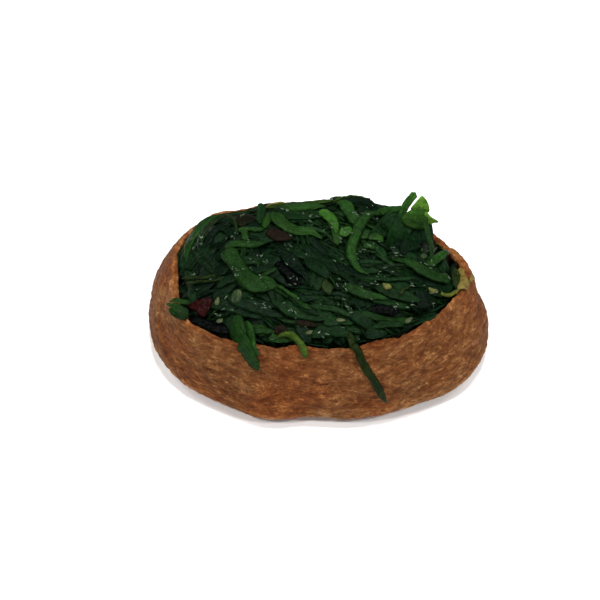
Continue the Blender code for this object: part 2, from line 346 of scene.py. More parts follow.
class StrandMesh:
    """Collects strands as closed sections and makes one mesh of them."""

    def __init__(self):
        self.points, self.faces, self.caps = [], [], []
        self.colours, self.fibres, self.layout = [], [], []
        self.count = 0

    def add(self, middle, thickness, colour, seed):
        """Adds a strand: its middle sheet (rows x columns x 3), thickness and colour on it."""
        rows, columns = middle.shape[:2]
        along = np.gradient(middle, axis=0)
        across = np.gradient(middle, axis=1)
        normal = unit(np.cross(along, across))
        half = 0.5 * thickness[..., None] * normal
        top, bottom = middle + half, middle - half
        section = np.concatenate((top, bottom[:, -2:0:-1]), axis=1)
        size = section.shape[1]
        tint = np.concatenate((colour, colour[:, -2:0:-1]), axis=1)
        length = np.cumsum(np.linalg.norm(along.mean(axis=1), axis=1))
        width = np.cumsum(np.linalg.norm(across, axis=2), axis=1)
        width = np.concatenate((width, width[:, -2:0:-1]), axis=1)
        fibre = np.stack((np.repeat(length[:, None], size, axis=1), width,
                          np.full((rows, size), seed * 7.3)), axis=2)
        first = self.count + size * np.arange(rows - 1)[:, None]
        column = np.arange(size)[None, :]
        after = (column + 1) % size
        faces = np.stack((first + column, first + after, first + size + after,
                          first + size + column), axis=2)
        self.points.append(section.reshape(-1, 3))
        self.colours.append(tint.reshape(-1, 3))
        self.fibres.append(fibre.reshape(-1, 3))
        self.faces.append(faces.reshape(-1, 4))
        self.layout.append((rows, size, float(length[-1] - length[0]), float(2 * width.max())))
        start, end = self.count, self.count + size * (rows - 1)
        self.caps.append(tuple(range(start + size - 1, start - 1, -1)))
        self.caps.append(tuple(range(end, end + size)))
        self.count += rows * size

    def triangles(self):
        return 2 * sum(len(faces) for faces in self.faces)

    def unwrapped(self):
        """UVs for every face corner: each strand is a strip, and the strips fill a square."""
        side = 1.05 * math.sqrt(sum((length + 0.4) * (girth + 0.4)
                                    for _, _, length, girth in self.layout))
        order = sorted(range(len(self.layout)), key=lambda index: -self.layout[index][3])
        while True:
            corners, fits = self.shelves(order, side)
            if fits:
                break
            side *= 1.04
        corner_uvs = []
        for (rows, size, length, girth), (left, low) in zip(self.layout, corners):
            row = np.arange(rows - 1)[:, None] / (rows - 1) * length
            step = length / (rows - 1)
            column = np.arange(size)[None, :] / size * girth
            wide = girth / size
            u = np.stack((row + 0 * column,) * 2 + (row + step + 0 * column,) * 2, axis=2)
            v = np.stack((column + 0 * row, column + wide + 0 * row,
                          column + wide + 0 * row, column + 0 * row), axis=2)
            corner_uvs.append(np.stack((left + u, low + v), axis=3).reshape(-1, 2))
        cap_uvs = []
        for (rows, size, length, _), (left, low) in zip(self.layout, corners):
            for at in (left, left + length):
                turn = math.tau * np.arange(size) / size
                cap_uvs.append(np.column_stack((at + 0.05 * np.cos(turn), low + 0.05 * np.sin(turn))))
        return np.vstack(corner_uvs + cap_uvs) / side

    def shelves(self, order, side):
        """Where each strip starts when they are set in rows, widest first, and if they fit."""
        gap = 0.4
        corners = [None] * len(order)
        left, low, shelf = gap, gap, 0.0
        for index in order:
            _, _, length, girth = self.layout[index]
            if left + length + gap > side:
                left, low, shelf = gap, low + shelf + gap, 0.0
            corners[index] = (left, low)
            left += length + gap
            shelf = max(shelf, girth)
        return corners, low + shelf + gap <= side

    def build(self, name, material):
        points = crumpled(np.vstack(self.points)) * MM
        faces = np.vstack(self.faces).tolist() + self.caps
        mesh = bpy.data.meshes.new(name)
        mesh.from_pydata(points.tolist(), [], faces)
        write_attribute(mesh, "tint", "FLOAT_COLOR", np.vstack(self.colours))
        write_attribute(mesh, "fibre", "FLOAT_VECTOR", np.vstack(self.fibres))
        layer = mesh.uv_layers.new(name="OFBake")
        layer.data.foreach_set("uv", self.unwrapped().astype(np.float32).ravel())
        return new_piece(name, mesh, material)


def write_attribute(mesh, name, kind, values):
    """Writes values for each point as a mesh attribute."""
    attribute = mesh.attributes.new(name, kind, "POINT")
    if kind == "FLOAT_COLOR":
        values = np.column_stack((values, np.ones(len(values))))
        attribute.data.foreach_set("color", values.astype(np.float32).ravel())
    elif kind == "FLOAT_VECTOR":
        attribute.data.foreach_set("vector", values.astype(np.float32).ravel())
    else:
        attribute.data.foreach_set("value", values.astype(np.float32).ravel())


def new_piece(name, mesh, material):
    """An object of the mesh, smooth, that rides on the part's one body."""
    mesh.shade_smooth()
    mesh.materials.append(material)
    mesh.update()
    piece = bpy.data.objects.new(name, mesh)
    bpy.context.scene.collection.objects.link(piece)
    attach(piece, "root")
    return piece


def lens(columns, thickness, edge=0.25):
    """Thickness across a strand, full in the middle and thin at its edges."""
    across = np.linspace(-1.0, 1.0, columns)
    return thickness * np.maximum(np.sqrt(np.maximum(1.0 - across ** 2, 0.0)), edge)


def sheet_sides(path):
    """The unit direction across a plan path at each of its points."""
    ahead = unit(np.gradient(path[:, :2], axis=0))
    return np.column_stack((-ahead[:, 1], ahead[:, 0]))


def draped(pile, path, half_width, thickness, columns, reach, curl=0.0, lift=0.0, ruffle=None):
    """A strand's middle sheet, laid on the pile along a plan path."""
    across = np.linspace(-1.0, 1.0, columns)
    side = sheet_sides(path)
    plan = path[:, None, :2] + across[None, :, None] * half_width[:, None, None] * side[:, None, :]
    under = pile.height(plan[..., 0], plan[..., 1])
    height = settled(under, reach)
    flat = height.mean(axis=1, keepdims=True)
    height = np.maximum(0.55 * height + 0.45 * flat, under - 0.15)
    height = height + 0.5 * thickness + curl * (across ** 2) * half_width[:, None]
    height = height + np.asarray(lift).reshape(-1, 1)
    if ruffle is not None:
        height = height + ruffle * (across ** 2)[None, :]
    return np.concatenate((plan, height[..., None]), axis=2)


def tinted(rows, columns, colour, edge_light, drift):
    """A strand's colour over its sheet: thin edges painted lighter, as light shining through them, and a slow change
    along it.
    """
    across = np.linspace(-1.0, 1.0, columns) ** 2
    # painted light: the thin edges lighter, as light shining through them
    shade = 1.0 + edge_light * across[None, :] + drift[:, None]
    return np.asarray(colour)[None, None, :] * np.maximum(shade, 0.2)[..., None]


# ---------------------------------------------------------------- materials

def colour_ramp(nodes, stops):
    ramp = nodes.new("ShaderNodeValToRGB")
    elements = ramp.color_ramp.elements
    while len(elements) < len(stops):
        elements.new(0.5)
    for element, (place, colour) in zip(elements, stops):
        element.position = place
        element.color = (*colour, 1.0)
    return ramp


def noise_node(nodes, links, vector, scale, detail=3.0, roughness=0.55):
    node = nodes.new("ShaderNodeTexNoise")
    node.inputs["Scale"].default_value = scale
    node.inputs["Detail"].default_value = detail
    node.inputs["Roughness"].default_value = roughness
    links.new(vector, node.inputs["Vector"])
    return node


def stretched(nodes, links, vector, scale):
    mapping = nodes.new("ShaderNodeMapping")
    mapping.inputs["Scale"].default_value = scale
    links.new(vector, mapping.inputs["Vector"])
    return mapping.outputs["Vector"]


def new_material(name):
    material = bpy.data.materials.new(name)
    material.use_nodes = True
    tree = material.node_tree
    return material, tree.nodes, tree.links, tree.nodes["Principled BSDF"]


def multiplied(nodes, links, first, second, blend="MULTIPLY", factor=1.0):
    mix = nodes.new("ShaderNodeMix")
    mix.data_type = "RGBA"
    mix.blend_type = blend
    mix.inputs["Factor"].default_value = factor
    links.new(first, mix.inputs[6])
    links.new(second, mix.inputs[7])
    return mix.outputs[2]


def bumped(nodes, links, shader, height, distance, strength=1.0):
    bump = nodes.new("ShaderNodeBump")
    bump.inputs["Distance"].default_value = distance
    bump.inputs["Strength"].default_value = strength
    links.new(height, bump.inputs["Height"])
    links.new(bump.outputs["Normal"], shader.inputs["Normal"])


# Thin creases in the fried skin: (how many to the metre, offset).
CREASE_LINES = ((190.0, 0.0), (330.0, 0.7))


def crease_lines(nodes, links, vector, scale, offset):
    """A tint that is 1 but for thin broken pale lines."""
    moved = nodes.new("ShaderNodeMapping")
    moved.inputs["Location"].default_value = (offset, offset, 0.0)
    links.new(vector, moved.inputs["Vector"])
    waves = noise_node(nodes, links, moved.outputs["Vector"], scale, 3.0, 0.6)
    lines = colour_ramp(nodes, ((0.470, (1.0, 1.0, 1.0)), (0.496, (1.75, 2.05, 2.30)),
                                (0.504, (1.75, 2.05, 2.30)), (0.530, (1.0, 1.0, 1.0))))
    links.new(waves.outputs["Fac"], lines.inputs["Fac"])
    breaks = noise_node(nodes, links, moved.outputs["Vector"], 2.1 * scale, 2.0)
    kept = colour_ramp(nodes, ((0.46, (1.0, 1.0, 1.0)), (0.62, (1.75, 2.05, 2.30))))
    links.new(breaks.outputs["Fac"], kept.inputs["Fac"])
    return multiplied(nodes, links, lines.outputs["Color"], kept.outputs["Color"], "DARKEN")


def tofu_material():
    """Fried tofu: golden brown in soft patches and flecks, with thin pale creases, matt."""
    material, nodes, links, shader = new_material("fried_tofu")
    place = nodes.new("ShaderNodeTexCoord").outputs["Object"]
    level = stretched(nodes, links, place, (1.0, 1.0, 2.0))
    # The relief attribute is the skin's tone, which carries the painted shade and highlights set in build_pouch.
    relief = nodes.new("ShaderNodeAttribute")
    relief.attribute_name = "relief"
    skin = colour_ramp(nodes, ((0.0, (0.036, 0.0098, 0.0025)), (0.35, (0.079, 0.0240, 0.0065)),
                               (0.62, (0.122, 0.0405, 0.0118)), (1.0, (0.215, 0.088, 0.029))))
    links.new(relief.outputs["Fac"], skin.inputs["Fac"])
    colour = skin.outputs["Color"]
    flecks = noise_node(nodes, links, level, 420.0, 5.0, 0.66)
    fine = noise_node(nodes, links, level, 1300.0, 3.0, 0.6)
    patches = noise_node(nodes, links, level, 170.0, 4.0, 0.6)
    blotches = noise_node(nodes, links, place, 60.0, 2.0)
    tints = ((flecks, ((0.34, (0.66, 0.60, 0.56)), (0.50, (1.0, 1.0, 1.0)), (0.66, (1.42, 1.56, 1.66)))),
             (fine, ((0.32, (0.80, 0.77, 0.75)), (0.68, (1.22, 1.27, 1.30)))),
             (patches, ((0.36, (0.82, 0.74, 0.68)), (0.64, (1.14, 1.22, 1.26)))),
             (blotches, ((0.38, (1.03, 0.90, 0.80)), (0.62, (1.00, 1.12, 1.22)))))
    for noise, stops in tints:
        tint = colour_ramp(nodes, stops)
        links.new(noise.outputs["Fac"], tint.inputs["Fac"])
        colour = multiplied(nodes, links, colour, tint.outputs["Color"])
    for scale, offset in CREASE_LINES:
        colour = multiplied(nodes, links, colour, crease_lines(nodes, links, level, scale, offset))
    links.new(colour, shader.inputs["Base Color"])
    gloss = colour_ramp(nodes, ((0.3, (0.50, 0.50, 0.50)), (0.7, (0.80, 0.80, 0.80))))
    links.new(flecks.outputs["Fac"], gloss.inputs["Fac"])
    links.new(gloss.outputs["Color"], shader.inputs["Roughness"])
    shader.inputs["Specular IOR Level"].default_value = 0.04
    grain = multiplied(nodes, links, flecks.outputs["Fac"], fine.outputs["Fac"], "MIX", 0.4)
    bumped(nodes, links, shader, grain, 0.0006)
    return material


# Bright speckles: partly the leaves' own pale dots, partly painted glints.
GLINT_SPECKLE = (3.1, 2.6, 3.3)


def seaweed_material():
    """Wet seaweed: each strand's own green, softly streaked, with bright speckles that are partly the leaves' own
    pale dots and partly painted glints, drier along the rear.
    """
    material, nodes, links, shader = new_material("wet_seaweed")
    tint = nodes.new("ShaderNodeAttribute")
    tint.attribute_name = "tint"
    fibre = nodes.new("ShaderNodeAttribute")
    fibre.attribute_name = "fibre"
    lengthwise = stretched(nodes, links, fibre.outputs["Vector"], (0.22, 2.2, 1.0))
    streaks = noise_node(nodes, links, lengthwise, 1.0, 3.0, 0.6)
    mottle = noise_node(nodes, links, fibre.outputs["Vector"], 0.8, 3.0, 0.6)
    streak_tint = colour_ramp(nodes, ((0.30, (0.78, 0.78, 0.80)), (0.52, (1.0, 1.0, 1.0)),
                                      (0.72, (1.38, 1.32, 1.28))))
    links.new(streaks.outputs["Fac"], streak_tint.inputs["Fac"])
    mottle_tint = colour_ramp(nodes, ((0.32, (0.66, 0.70, 0.78)), (0.68, (1.38, 1.30, 1.18))))
    links.new(mottle.outputs["Fac"], mottle_tint.inputs["Fac"])
    colour = multiplied(nodes, links, tint.outputs["Color"], streak_tint.outputs["Color"])
    colour = multiplied(nodes, links, colour, mottle_tint.outputs["Color"])
    # painted glints: bright dots in groups, partly the leaves' own pale dots
    dots = noise_node(nodes, links, fibre.outputs["Vector"], 4.2, 1.0, 0.4)
    groups = noise_node(nodes, links, fibre.outputs["Vector"], 0.55, 2.0)
    dot_tint = colour_ramp(nodes, ((0.62, (1.0, 1.0, 1.0)), (0.70, GLINT_SPECKLE)))
    links.new(dots.outputs["Fac"], dot_tint.inputs["Fac"])
    group_tint = colour_ramp(nodes, ((0.47, (1.0, 1.0, 1.0)), (0.60, GLINT_SPECKLE)))
    links.new(groups.outputs["Fac"], group_tint.inputs["Fac"])
    glint_speckle = multiplied(nodes, links, dot_tint.outputs["Color"], group_tint.outputs["Color"], "DARKEN")
    colour = multiplied(nodes, links, colour, glint_speckle)
    links.new(colour, shader.inputs["Base Color"])
    gloss = colour_ramp(nodes, ((0.35, (0.15, 0.15, 0.15)), (0.70, (0.42, 0.42, 0.42))))
    links.new(mottle.outputs["Fac"], gloss.inputs["Fac"])
    place = nodes.new("ShaderNodeTexCoord").outputs["Object"]
    axes = nodes.new("ShaderNodeSeparateXYZ")
    links.new(place, axes.inputs["Vector"])
    rear = nodes.new("ShaderNodeMapRange")
    rear.inputs["From Min"].default_value = 0.008
    rear.inputs["From Max"].default_value = 0.014
    links.new(axes.outputs["Y"], rear.inputs["Value"])
    dry = colour_ramp(nodes, ((0.0, (0.15, 0.15, 0.15)), (1.0, (0.85, 0.85, 0.85))))
    links.new(rear.outputs["Result"], dry.inputs["Fac"])
    roughness = multiplied(nodes, links, gloss.outputs["Color"], dry.outputs["Color"], "LIGHTEN")
    links.new(roughness, shader.inputs["Roughness"])
    shader.inputs["Specular IOR Level"].default_value = 0.03
    wrinkles = noise_node(nodes, links, fibre.outputs["Vector"], 1.3, 2.0, 0.5)
    ripple = multiplied(nodes, links, streaks.outputs["Fac"], wrinkles.outputs["Fac"], "MIX", 0.6)
    bumped(nodes, links, shader, ripple, 0.0005)
    return material


def plain_food_material(name, dark, light, scale, roughness, bump=0.0002, specular=0.1):
    """A small piece's material: two tones in soft patches, with a fine bump."""
    material, nodes, links, shader = new_material(name)
    place = nodes.new("ShaderNodeTexCoord").outputs["Object"]
    patches = noise_node(nodes, links, place, scale, 3.0, 0.6)
    tone = colour_ramp(nodes, ((0.35, dark), (0.65, light)))
    links.new(patches.outputs["Fac"], tone.inputs["Fac"])
    links.new(tone.outputs["Color"], shader.inputs["Base Color"])
    shader.inputs["Roughness"].default_value = roughness
    shader.inputs["Specular IOR Level"].default_value = specular
    bumped(nodes, links, shader, patches.outputs["Fac"], bump)
    return material


# ---------------------------------------------------------------- the pouch

POUCH_STATIONS = 600
POUCH_LOWER = 22
POUCH_UPPER = 72
POUCH_RIM = 18


def pouch_points():
    """The pouch's smooth surface as rows round it (stations x profile x 3)."""
    angle = math.tau * np.arange(POUCH_STATIONS) / POUCH_STATIONS
    radius, height = pouch_profile(angle, POUCH_LOWER, POUCH_UPPER, POUCH_RIM)
    x = radius * np.cos(angle)[:, None] - MIDDLE[0]
    y = radius * np.sin(angle)[:, None] - MIDDLE[1]
    return np.stack((x, y, height), axis=2)


def grid_normals(points):
    """Outward unit normals of a grid whose rows run round a closed ring."""
    around = np.roll(points, -1, axis=0) - np.roll(points, 1, axis=0)
    up = np.gradient(points, axis=1)
    return unit(np.cross(around, up))


def skin_relief(points):
    """How far the fried skin stands out of its smooth surface, and its share for colour, with painted shade in its
    creases and painted highlight where it stands out.
    """
    level = np.array((1.0, 1.0, 2.8))
    slow = Noise(3).at(points * level / 11.0)
    lumps = Noise(4).at(points * level / 4.6)
    creases = Noise(5).ridged(points * level / 6.0 + 0.35 * lumps[..., None]) ** 4
    wrinkles = Noise(6).ridged(points * level / 2.4 + 0.3 * slow[..., None]) ** 2
    grain = Noise(7).at(points * level / 1.2)
    height = 0.26 * slow + 0.13 * lumps - 0.22 * creases + 0.14 * wrinkles + 0.10 * grain
    # painted shade and highlight: the tone is darker in the creases and lighter on the raised skin
    tone = 0.50 + 0.07 * slow + 0.06 * lumps - 0.16 * creases + 0.12 * wrinkles + 0.12 * grain
    return height, tone


def build_pouch(material):
    points = pouch_points()
    angle = math.tau * np.arange(POUCH_STATIONS) / POUCH_STATIONS
    normals = grid_normals(points)
    relief, tone = skin_relief(points)
    profile = np.arange(points.shape[1])
    rim_start = POUCH_LOWER + POUCH_UPPER + 1
    rim_middle = rim_start + POUCH_RIM / 2.0
    near_rim = np.exp(-((profile - rim_middle) / 11.0) ** 2)
    ragged = Noise(8).at(points / 2.4) * 0.28 + Noise(9).at(points / 1.0) * 0.22
    settle = np.clip(points[..., 2] / 1.6, 0.0, 1.0)
    moved = relief * settle * (1.0 - 0.5 * near_rim) + ragged * near_rim
    points = points + normals * moved[..., None]
    points[..., 2] = np.maximum(points[..., 2], 0.0)
    points[..., 2] += near_rim * 0.35 * Noise(10).at(points / 3.4)
    # painted highlight: the torn rim lighter and golden, but darker along the front, with random patches
    tone = tone + (0.10 - 0.30 * frontness(angle))[:, None] * near_rim + 0.16 * near_rim * Noise(12).at(points / 1.6)
    # painted light: the wall lighter towards its foot, as light thrown up from the floor
    tone += 0.38 * np.clip(1.0 - points[..., 2] / 8.0, 0.0, 1.0)
    tone += 0.05 * (1.0 - frontness(angle))[:, None]
    # painted shade: the inside of the pouch a little darker
    tone[:, rim_start + POUCH_RIM:] -= 0.06
    stations, count = points.shape[:2]
    flat = points.reshape(-1, 3)
    ends = np.array(((0.0, 0.0, 0.0), (0.0, 0.0, FLOOR)))
    station = np.arange(stations)[:, None] * count
    after = (np.arange(stations)[:, None] + 1) % stations * count
    row = np.arange(count - 1)[None, :]
    faces = np.stack((station + row, after + row, after + row + 1, station + row + 1), axis=2)
    bottom, inside = len(flat), len(flat) + 1
    caps = [(bottom, int(b), int(a)) for a, b in zip(station[:, 0], after[:, 0])]
    caps += [(inside, int(a) + count - 1, int(b) + count - 1)
             for a, b in zip(station[:, 0], after[:, 0])]
    mesh = bpy.data.meshes.new("tofu_skin")
    mesh.from_pydata((np.vstack((flat, ends)) * MM).tolist(), [],
                     faces.reshape(-1, 4).tolist() + caps)
    write_attribute(mesh, "relief", "FLOAT", np.concatenate((tone.ravel(), (0.5, 0.5))))
    pouch = new_piece("tofu_skin", mesh, material)
    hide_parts("tofu_pouch")
    return pouch


# ---------------------------------------------------------------- the salad

CORE_DEPTH = 4.0
RIM_FALL = 4.0


def core_surface(x, y):
    """The top of the dark core under the strands."""
    share = heap_share(x, y)
    outside = np.clip((share - 0.985) * 60.0, 0.0, 30.0)
    return heap_surface(x, y) - CORE_DEPTH - outside


def rim_surface(x, y):
    """The crest of the pouch's rim, falling off on both sides of it."""
    angle, radius = polar(x, y)
    away = radius - mouth_radius(angle) - RIM_REACH + 0.5 * rim_edge(angle)
    return np.where(np.abs(away) < RIM_FALL, rim_height(angle) - 0.3 * away ** 2, 0.0)


def pile_start(x, y):
    """What the first strands lie on."""
    return np.maximum(core_surface(x, y), rim_surface(x, y))


def build_core(material):
    """The salad's inside: near black, as painted shade where gaps open between the strands; closed, and a little
    below the strands.
    """
    angle = math.tau * np.arange(120) / 120
    shares = np.linspace(1.0, 0.04, 25)
    rings = []
    wall = mouth_radius(angle) - GAP - 0.6
    low = np.column_stack((wall * np.cos(angle) - MIDDLE[0], wall * np.sin(angle) - MIDDLE[1],
                           np.full(len(angle), FLOOR + 0.4)))
    rings.append(low)
    for share in shares:
        x = wall * share * np.cos(angle) - MIDDLE[0]
        y = wall * share * np.sin(angle) - MIDDLE[1]
        rings.append(np.column_stack((x, y, core_surface(x, y) - 0.15)))
    points = np.vstack(rings)
    count = len(angle)
    faces = []
    for ring in range(len(rings) - 1):
        for station in range(count):
            after = (station + 1) % count
            faces.append((ring * count + station, ring * count + after,
                          (ring + 1) * count + after, (ring + 1) * count + station))
    faces.append(tuple(range(count - 1, -1, -1)))
    faces.append(tuple((len(rings) - 1) * count + station for station in range(count)))
    mesh = bpy.data.meshes.new("salad_core")
    mesh.from_pydata((points * MM).tolist(), [], faces)
    core = new_piece("salad_core", mesh, material)
    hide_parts("seaweed_salad")
    return core


# The way strands run: (x, y, direction) at places in the heap.
FLOW = ((-24, 10, 64), (-31, 3, 95), (-28, -5, 28), (-20, -8, 18), (-21, -13, 5),
        (-12, -14, -40), (-8, -10, -47), (-12, 3, -55), (-5, 8, -35), (-12, 16, 12),
        (0, 18, 0), (12, 18, -18), (4, -2, -28), (14, -2, -18), (24, -3, -26),
        (22, 6, 55), (4, -12, -58), (14, -12, -24), (8, -18, -5), (24, -10, 38),
        (-18, -18, 8), (-4, -19, -4), (30, 2, 85), (-18, 5, 50))


FRONT_GAP = 0.035
REAR_SPILL = 0.05
REAR = 100.0
REAR_REACH = 42.0


def flow_direction(x, y, reach=6.0):
    """The direction strands take at a place, in radians."""
    total = np.zeros(2)
    for place_x, place_y, direction in FLOW:
        weight = math.exp(-((x - place_x) ** 2 + (y - place_y) ** 2) / (2.0 * reach ** 2)) + 1e-5
        turn = 2.0 * math.radians(direction)
        total += weight * np.array((math.cos(turn), math.sin(turn)))
    return 0.5 * math.atan2(total[1], total[0])


def reach_limit(x, y):
    """How far out strands may run: they spill over the rim at the rear only."""
    angle, _ = polar(x, y)
    at_front = frontness(angle)
    at_rear = math.exp(-((math.degrees(float(angle)) - REAR) / REAR_REACH) ** 4)
    return 1.0 - FRONT_GAP * float(at_front) + REAR_SPILL * at_rear


def flow_path(start, length, turn, bend, wave=(0.0, 1.0, 0.0), step=1.0):
    """A plan path through a place, along the flow turned by an angle, kept inside the mouth."""
    size, pitch, phase = wave
    halves = []
    for sign in (1.0, -1.0):
        place = np.array(start, float)
        half = [place.copy()]
        direction = flow_direction(*place) + turn + (0.0 if sign > 0 else math.pi)
        for index in range(int(0.5 * length / step)):
            wanted = flow_direction(*place) + turn + size * math.sin(sign * index / pitch + phase)
            difference = (wanted - direction + math.pi / 2) % math.pi - math.pi / 2
            direction += 0.35 * difference + sign * bend * step
            place = place + step * np.array((math.cos(direction), math.sin(direction)))
            if heap_share(*place) > reach_limit(*place):
                break
            half.append(place.copy())
        halves.append(half)
    joined = halves[1][:0:-1] + halves[0]
    return np.array(joined)


class Salad:
    """Lays strands on the pile and shares them out between pieces."""

    PIECE_TRIANGLES = 160000

    def __init__(self, seed):
        self.pile = Pile(pile_start)
        self.random = np.random.default_rng(seed)
        self.meshes = [StrandMesh()]
        self.laid = 0

    def mesh(self):
        if self.meshes[-1].triangles() > self.PIECE_TRIANGLES:
            self.meshes.append(StrandMesh())
        return self.meshes[-1]

    def lay(self, path, width, thickness, colour, columns=5, reach=2, curl=0.0, sink=0.0,
            ends=(0.15, 0.2), blunt=0.6, ruffle=0.0, edge_light=0.2, mesh=None):
        """Lays one strand along a plan path and raises the pile under it; sink buries its ends."""
        rows = len(path)
        lift = -sink * np.linspace(-1.0, 1.0, rows) ** 6
        random = self.random
        shares = taper(rows, ends[0], ends[1], blunt)
        swell = 1.0 + 0.12 * np.sin(np.linspace(0, random.uniform(3, 9), rows) + random.uniform(0, 6))
        half_width = 0.5 * width * shares * swell
        wave = None
        if ruffle > 0.0:
            turns = np.linspace(0, rows * random.uniform(0.25, 0.5), rows)
            left = np.sin(turns + random.uniform(0, 6))
            right = np.sin(turns * 1.3 + random.uniform(0, 6))
            place = np.linspace(0, 1, columns)[None, :]
            wave = ruffle * (left[:, None] * (1 - place) + right[:, None] * place)
        middle = draped(self.pile, path, half_width, thickness, columns, reach, curl, lift, wave)
        depth = lens(columns, thickness)[None, :] * np.maximum(shares, 0.3)[:, None]
        edge_light = edge_light * random.uniform(0.2, 3.0)
        drift = 0.18 * np.sin(np.linspace(0, random.uniform(2, 7), rows) + random.uniform(0, 6))
        tint = tinted(rows, columns, colour, edge_light, drift)
        (mesh or self.mesh()).add(middle, depth, tint, self.laid)
        top = middle.copy()
        top[..., 2] += 0.5 * depth
        self.pile.lay(top)
        self.laid += 1

    def lowest_places(self, count, spread=1.2):
        """Places where the pile lies furthest below the heap's surface, well apart."""
        pile = self.pile
        lack = heap_surface(pile.x, pile.y) - pile.map
        lack = np.where(heap_share(pile.x, pile.y) < 0.98, lack, -9.0)
        lack = lack[::4, ::4] + self.random.normal(0.0, 0.25, lack[::4, ::4].shape)
        order = np.argsort(-lack.ravel())[:count * 4]
        chosen = self.random.choice(order, size=min(count, len(order)), replace=False)
        xs, ys = pile.x[::4, ::4].ravel()[chosen], pile.y[::4, ::4].ravel()[chosen]
        jitter = self.random.normal(0.0, spread * 0.4, (len(chosen), 2))
        return np.column_stack((xs, ys)) + jitter

    def shortfall(self):
        """How far the pile lies below the heap's surface, on average."""
        pile = self.pile
        inside = heap_share(pile.x, pile.y) < 0.93
        return float((heap_surface(pile.x, pile.y) - pile.map)[inside].mean())


DARK = (0.0014, 0.0050, 0.0020)
BOTTLE = (0.0022, 0.0084, 0.0027)
DEEP = (0.0032, 0.0128, 0.0030)
TEAL = (0.0034, 0.0110, 0.0042)
OLIVE = (0.0068, 0.0125, 0.0026)
MOSS = (0.0052, 0.0175, 0.0036)
LEAF = (0.0085, 0.0280, 0.0048)
STRAP = (0.0056, 0.0205, 0.0036)
BRANCH = (0.0075, 0.0270, 0.0047)
GREY = (0.0110, 0.0300, 0.0074)
BRIGHT = (0.0140, 0.0470, 0.0066)
SPRING = (0.0185, 0.0610, 0.0080)
FACE = (0.0090, 0.0290, 0.0030)
LIME = (0.0420, 0.1020, 0.0110)
YELLOW = (0.0400, 0.0480, 0.0080)
HOOK = (0.0250, 0.0480, 0.0065)
BROWN = (0.0032, 0.0036, 0.0014)
# near black: painted shade, laid as sheets where the heap shows deep gaps
PAINTED_GAP_SHADE = (0.0001, 0.0007, 0.0004)
FADED = (0.0100, 0.0180, 0.0048)
KHAKI = (0.0120, 0.0260, 0.0040)
KELP = (0.0056, 0.0108, 0.0020)
OCHRE = (0.0800, 0.0760, 0.0150)


def mixed(random, first, second, spread=0.18):
    """A colour between two, a little lighter or darker."""
    share = random.uniform(0.0, 1.0)
    colour = np.array(first) * (1 - share) + np.array(second) * share
    return colour * math.exp(random.normal(0.0, spread))


def wavy(random):
    """How a strand's direction waves along it: size, pitch and phase."""
    return random.uniform(0.0, 0.55), random.uniform(1.6, 4.0), random.uniform(0.0, 6.0)


def fill_leaves(salad, count, width, colours, length=(8, 18)):
    """Broad soft leaves, folded down over what lies below."""
    random = salad.random
    for place in salad.lowest_places(count):
        path = flow_path(place, random.uniform(*length), random.normal(0.0, 0.6), random.normal(0, 0.05),
                         wavy(random))
        if len(path) < 5:
            continue
        path = even_path(path, 0.7)
        salad.lay(path, random.uniform(*width), random.uniform(0.22, 0.38),
                  mixed(random, *colours), columns=7, reach=2, curl=random.uniform(-0.3, 0.1),
                  ends=(random.uniform(0.1, 0.4), random.uniform(0.15, 0.5)),
                  blunt=random.uniform(0.3, 0.7), ruffle=random.uniform(0.05, 0.25), sink=0.9, edge_light=0.3)


def fill_straps(salad, count, width, colours):
    """Cut straps of middling width, some of them in arcs."""
    random = salad.random
    for place in salad.lowest_places(count):
        path = flow_path(place, random.uniform(7, 22), random.normal(0.0, 0.55), random.normal(0, 0.07),
                         wavy(random))
        if len(path) < 5:
            continue
        path = even_path(path, 0.7)
        salad.lay(path, random.uniform(*width), random.uniform(0.3, 0.55),
                  mixed(random, *colours), columns=5, reach=2, curl=random.uniform(-0.3, 0.1),
                  ends=(random.uniform(0.05, 0.25), random.uniform(0.08, 0.4)),
                  blunt=random.uniform(0.2, 0.6), ruffle=random.uniform(0.0, 0.12), sink=1.0)


def fill_bundles(salad, count, colours, strands=(3, 8)):
    """Bundles of thin strands that run side by side."""
    random = salad.random
    for place in salad.lowest_places(count):
        turn, bend = random.normal(0.0, 0.4), random.normal(0, 0.05)
        path = flow_path(place, random.uniform(7, 18), turn, bend, wavy(random))
        if len(path) < 6:
            continue
        side = sheet_sides(path)
        tone = mixed(random, *colours)
        for index in range(random.integers(*strands)):
            offset = random.normal(0.0, 1.0) + np.cumsum(random.normal(0, 0.08, len(path)))
            first = random.integers(0, max(1, len(path) // 3))
            last = len(path) - random.integers(0, max(1, len(path) // 3))
            lane = path[first:last] + (side * offset[:, None])[first:last]
            if len(lane) < 5 or heap_share(lane[:, 0], lane[:, 1]).max() > 1.0:
                continue
            lane = even_path(lane, 0.8)
            salad.lay(lane, random.uniform(0.35, 0.8), random.uniform(0.3, 0.45),
                      tone * math.exp(random.normal(0, 0.2)), columns=3, reach=1,
                      ends=(0.12, 0.2), blunt=0.5, sink=0.7, edge_light=0.15)


MOST_LAYERS = 9
HEAP_SLACK = 0.7


def fill_salad(salad):
    """Piles up the salad's many unnamed strands."""
    fill_leaves(salad, 60, (3.0, 5.5), (DARK, BOTTLE))
    for turn in range(MOST_LAYERS):
        fill_straps(salad, 34, (0.9, 2.4), (DARK, DEEP))
        fill_bundles(salad, 22, (DARK, DEEP))
        fill_leaves(salad, 26, (2.2, 4.6), (DARK, BOTTLE))
        if salad.shortfall() < HEAP_SLACK:
            break
    fill_straps(salad, 26, (0.8, 1.8), (BOTTLE, MOSS))
    fill_bundles(salad, 8, (BOTTLE, DEEP), (2, 5))
    fill_leaves(salad, 14, (2.2, 4.2), (BOTTLE, DEEP), (6, 13))


WIDE = {"columns": 7, "ruffle": 0.18, "ends": (0.25, 0.3)}

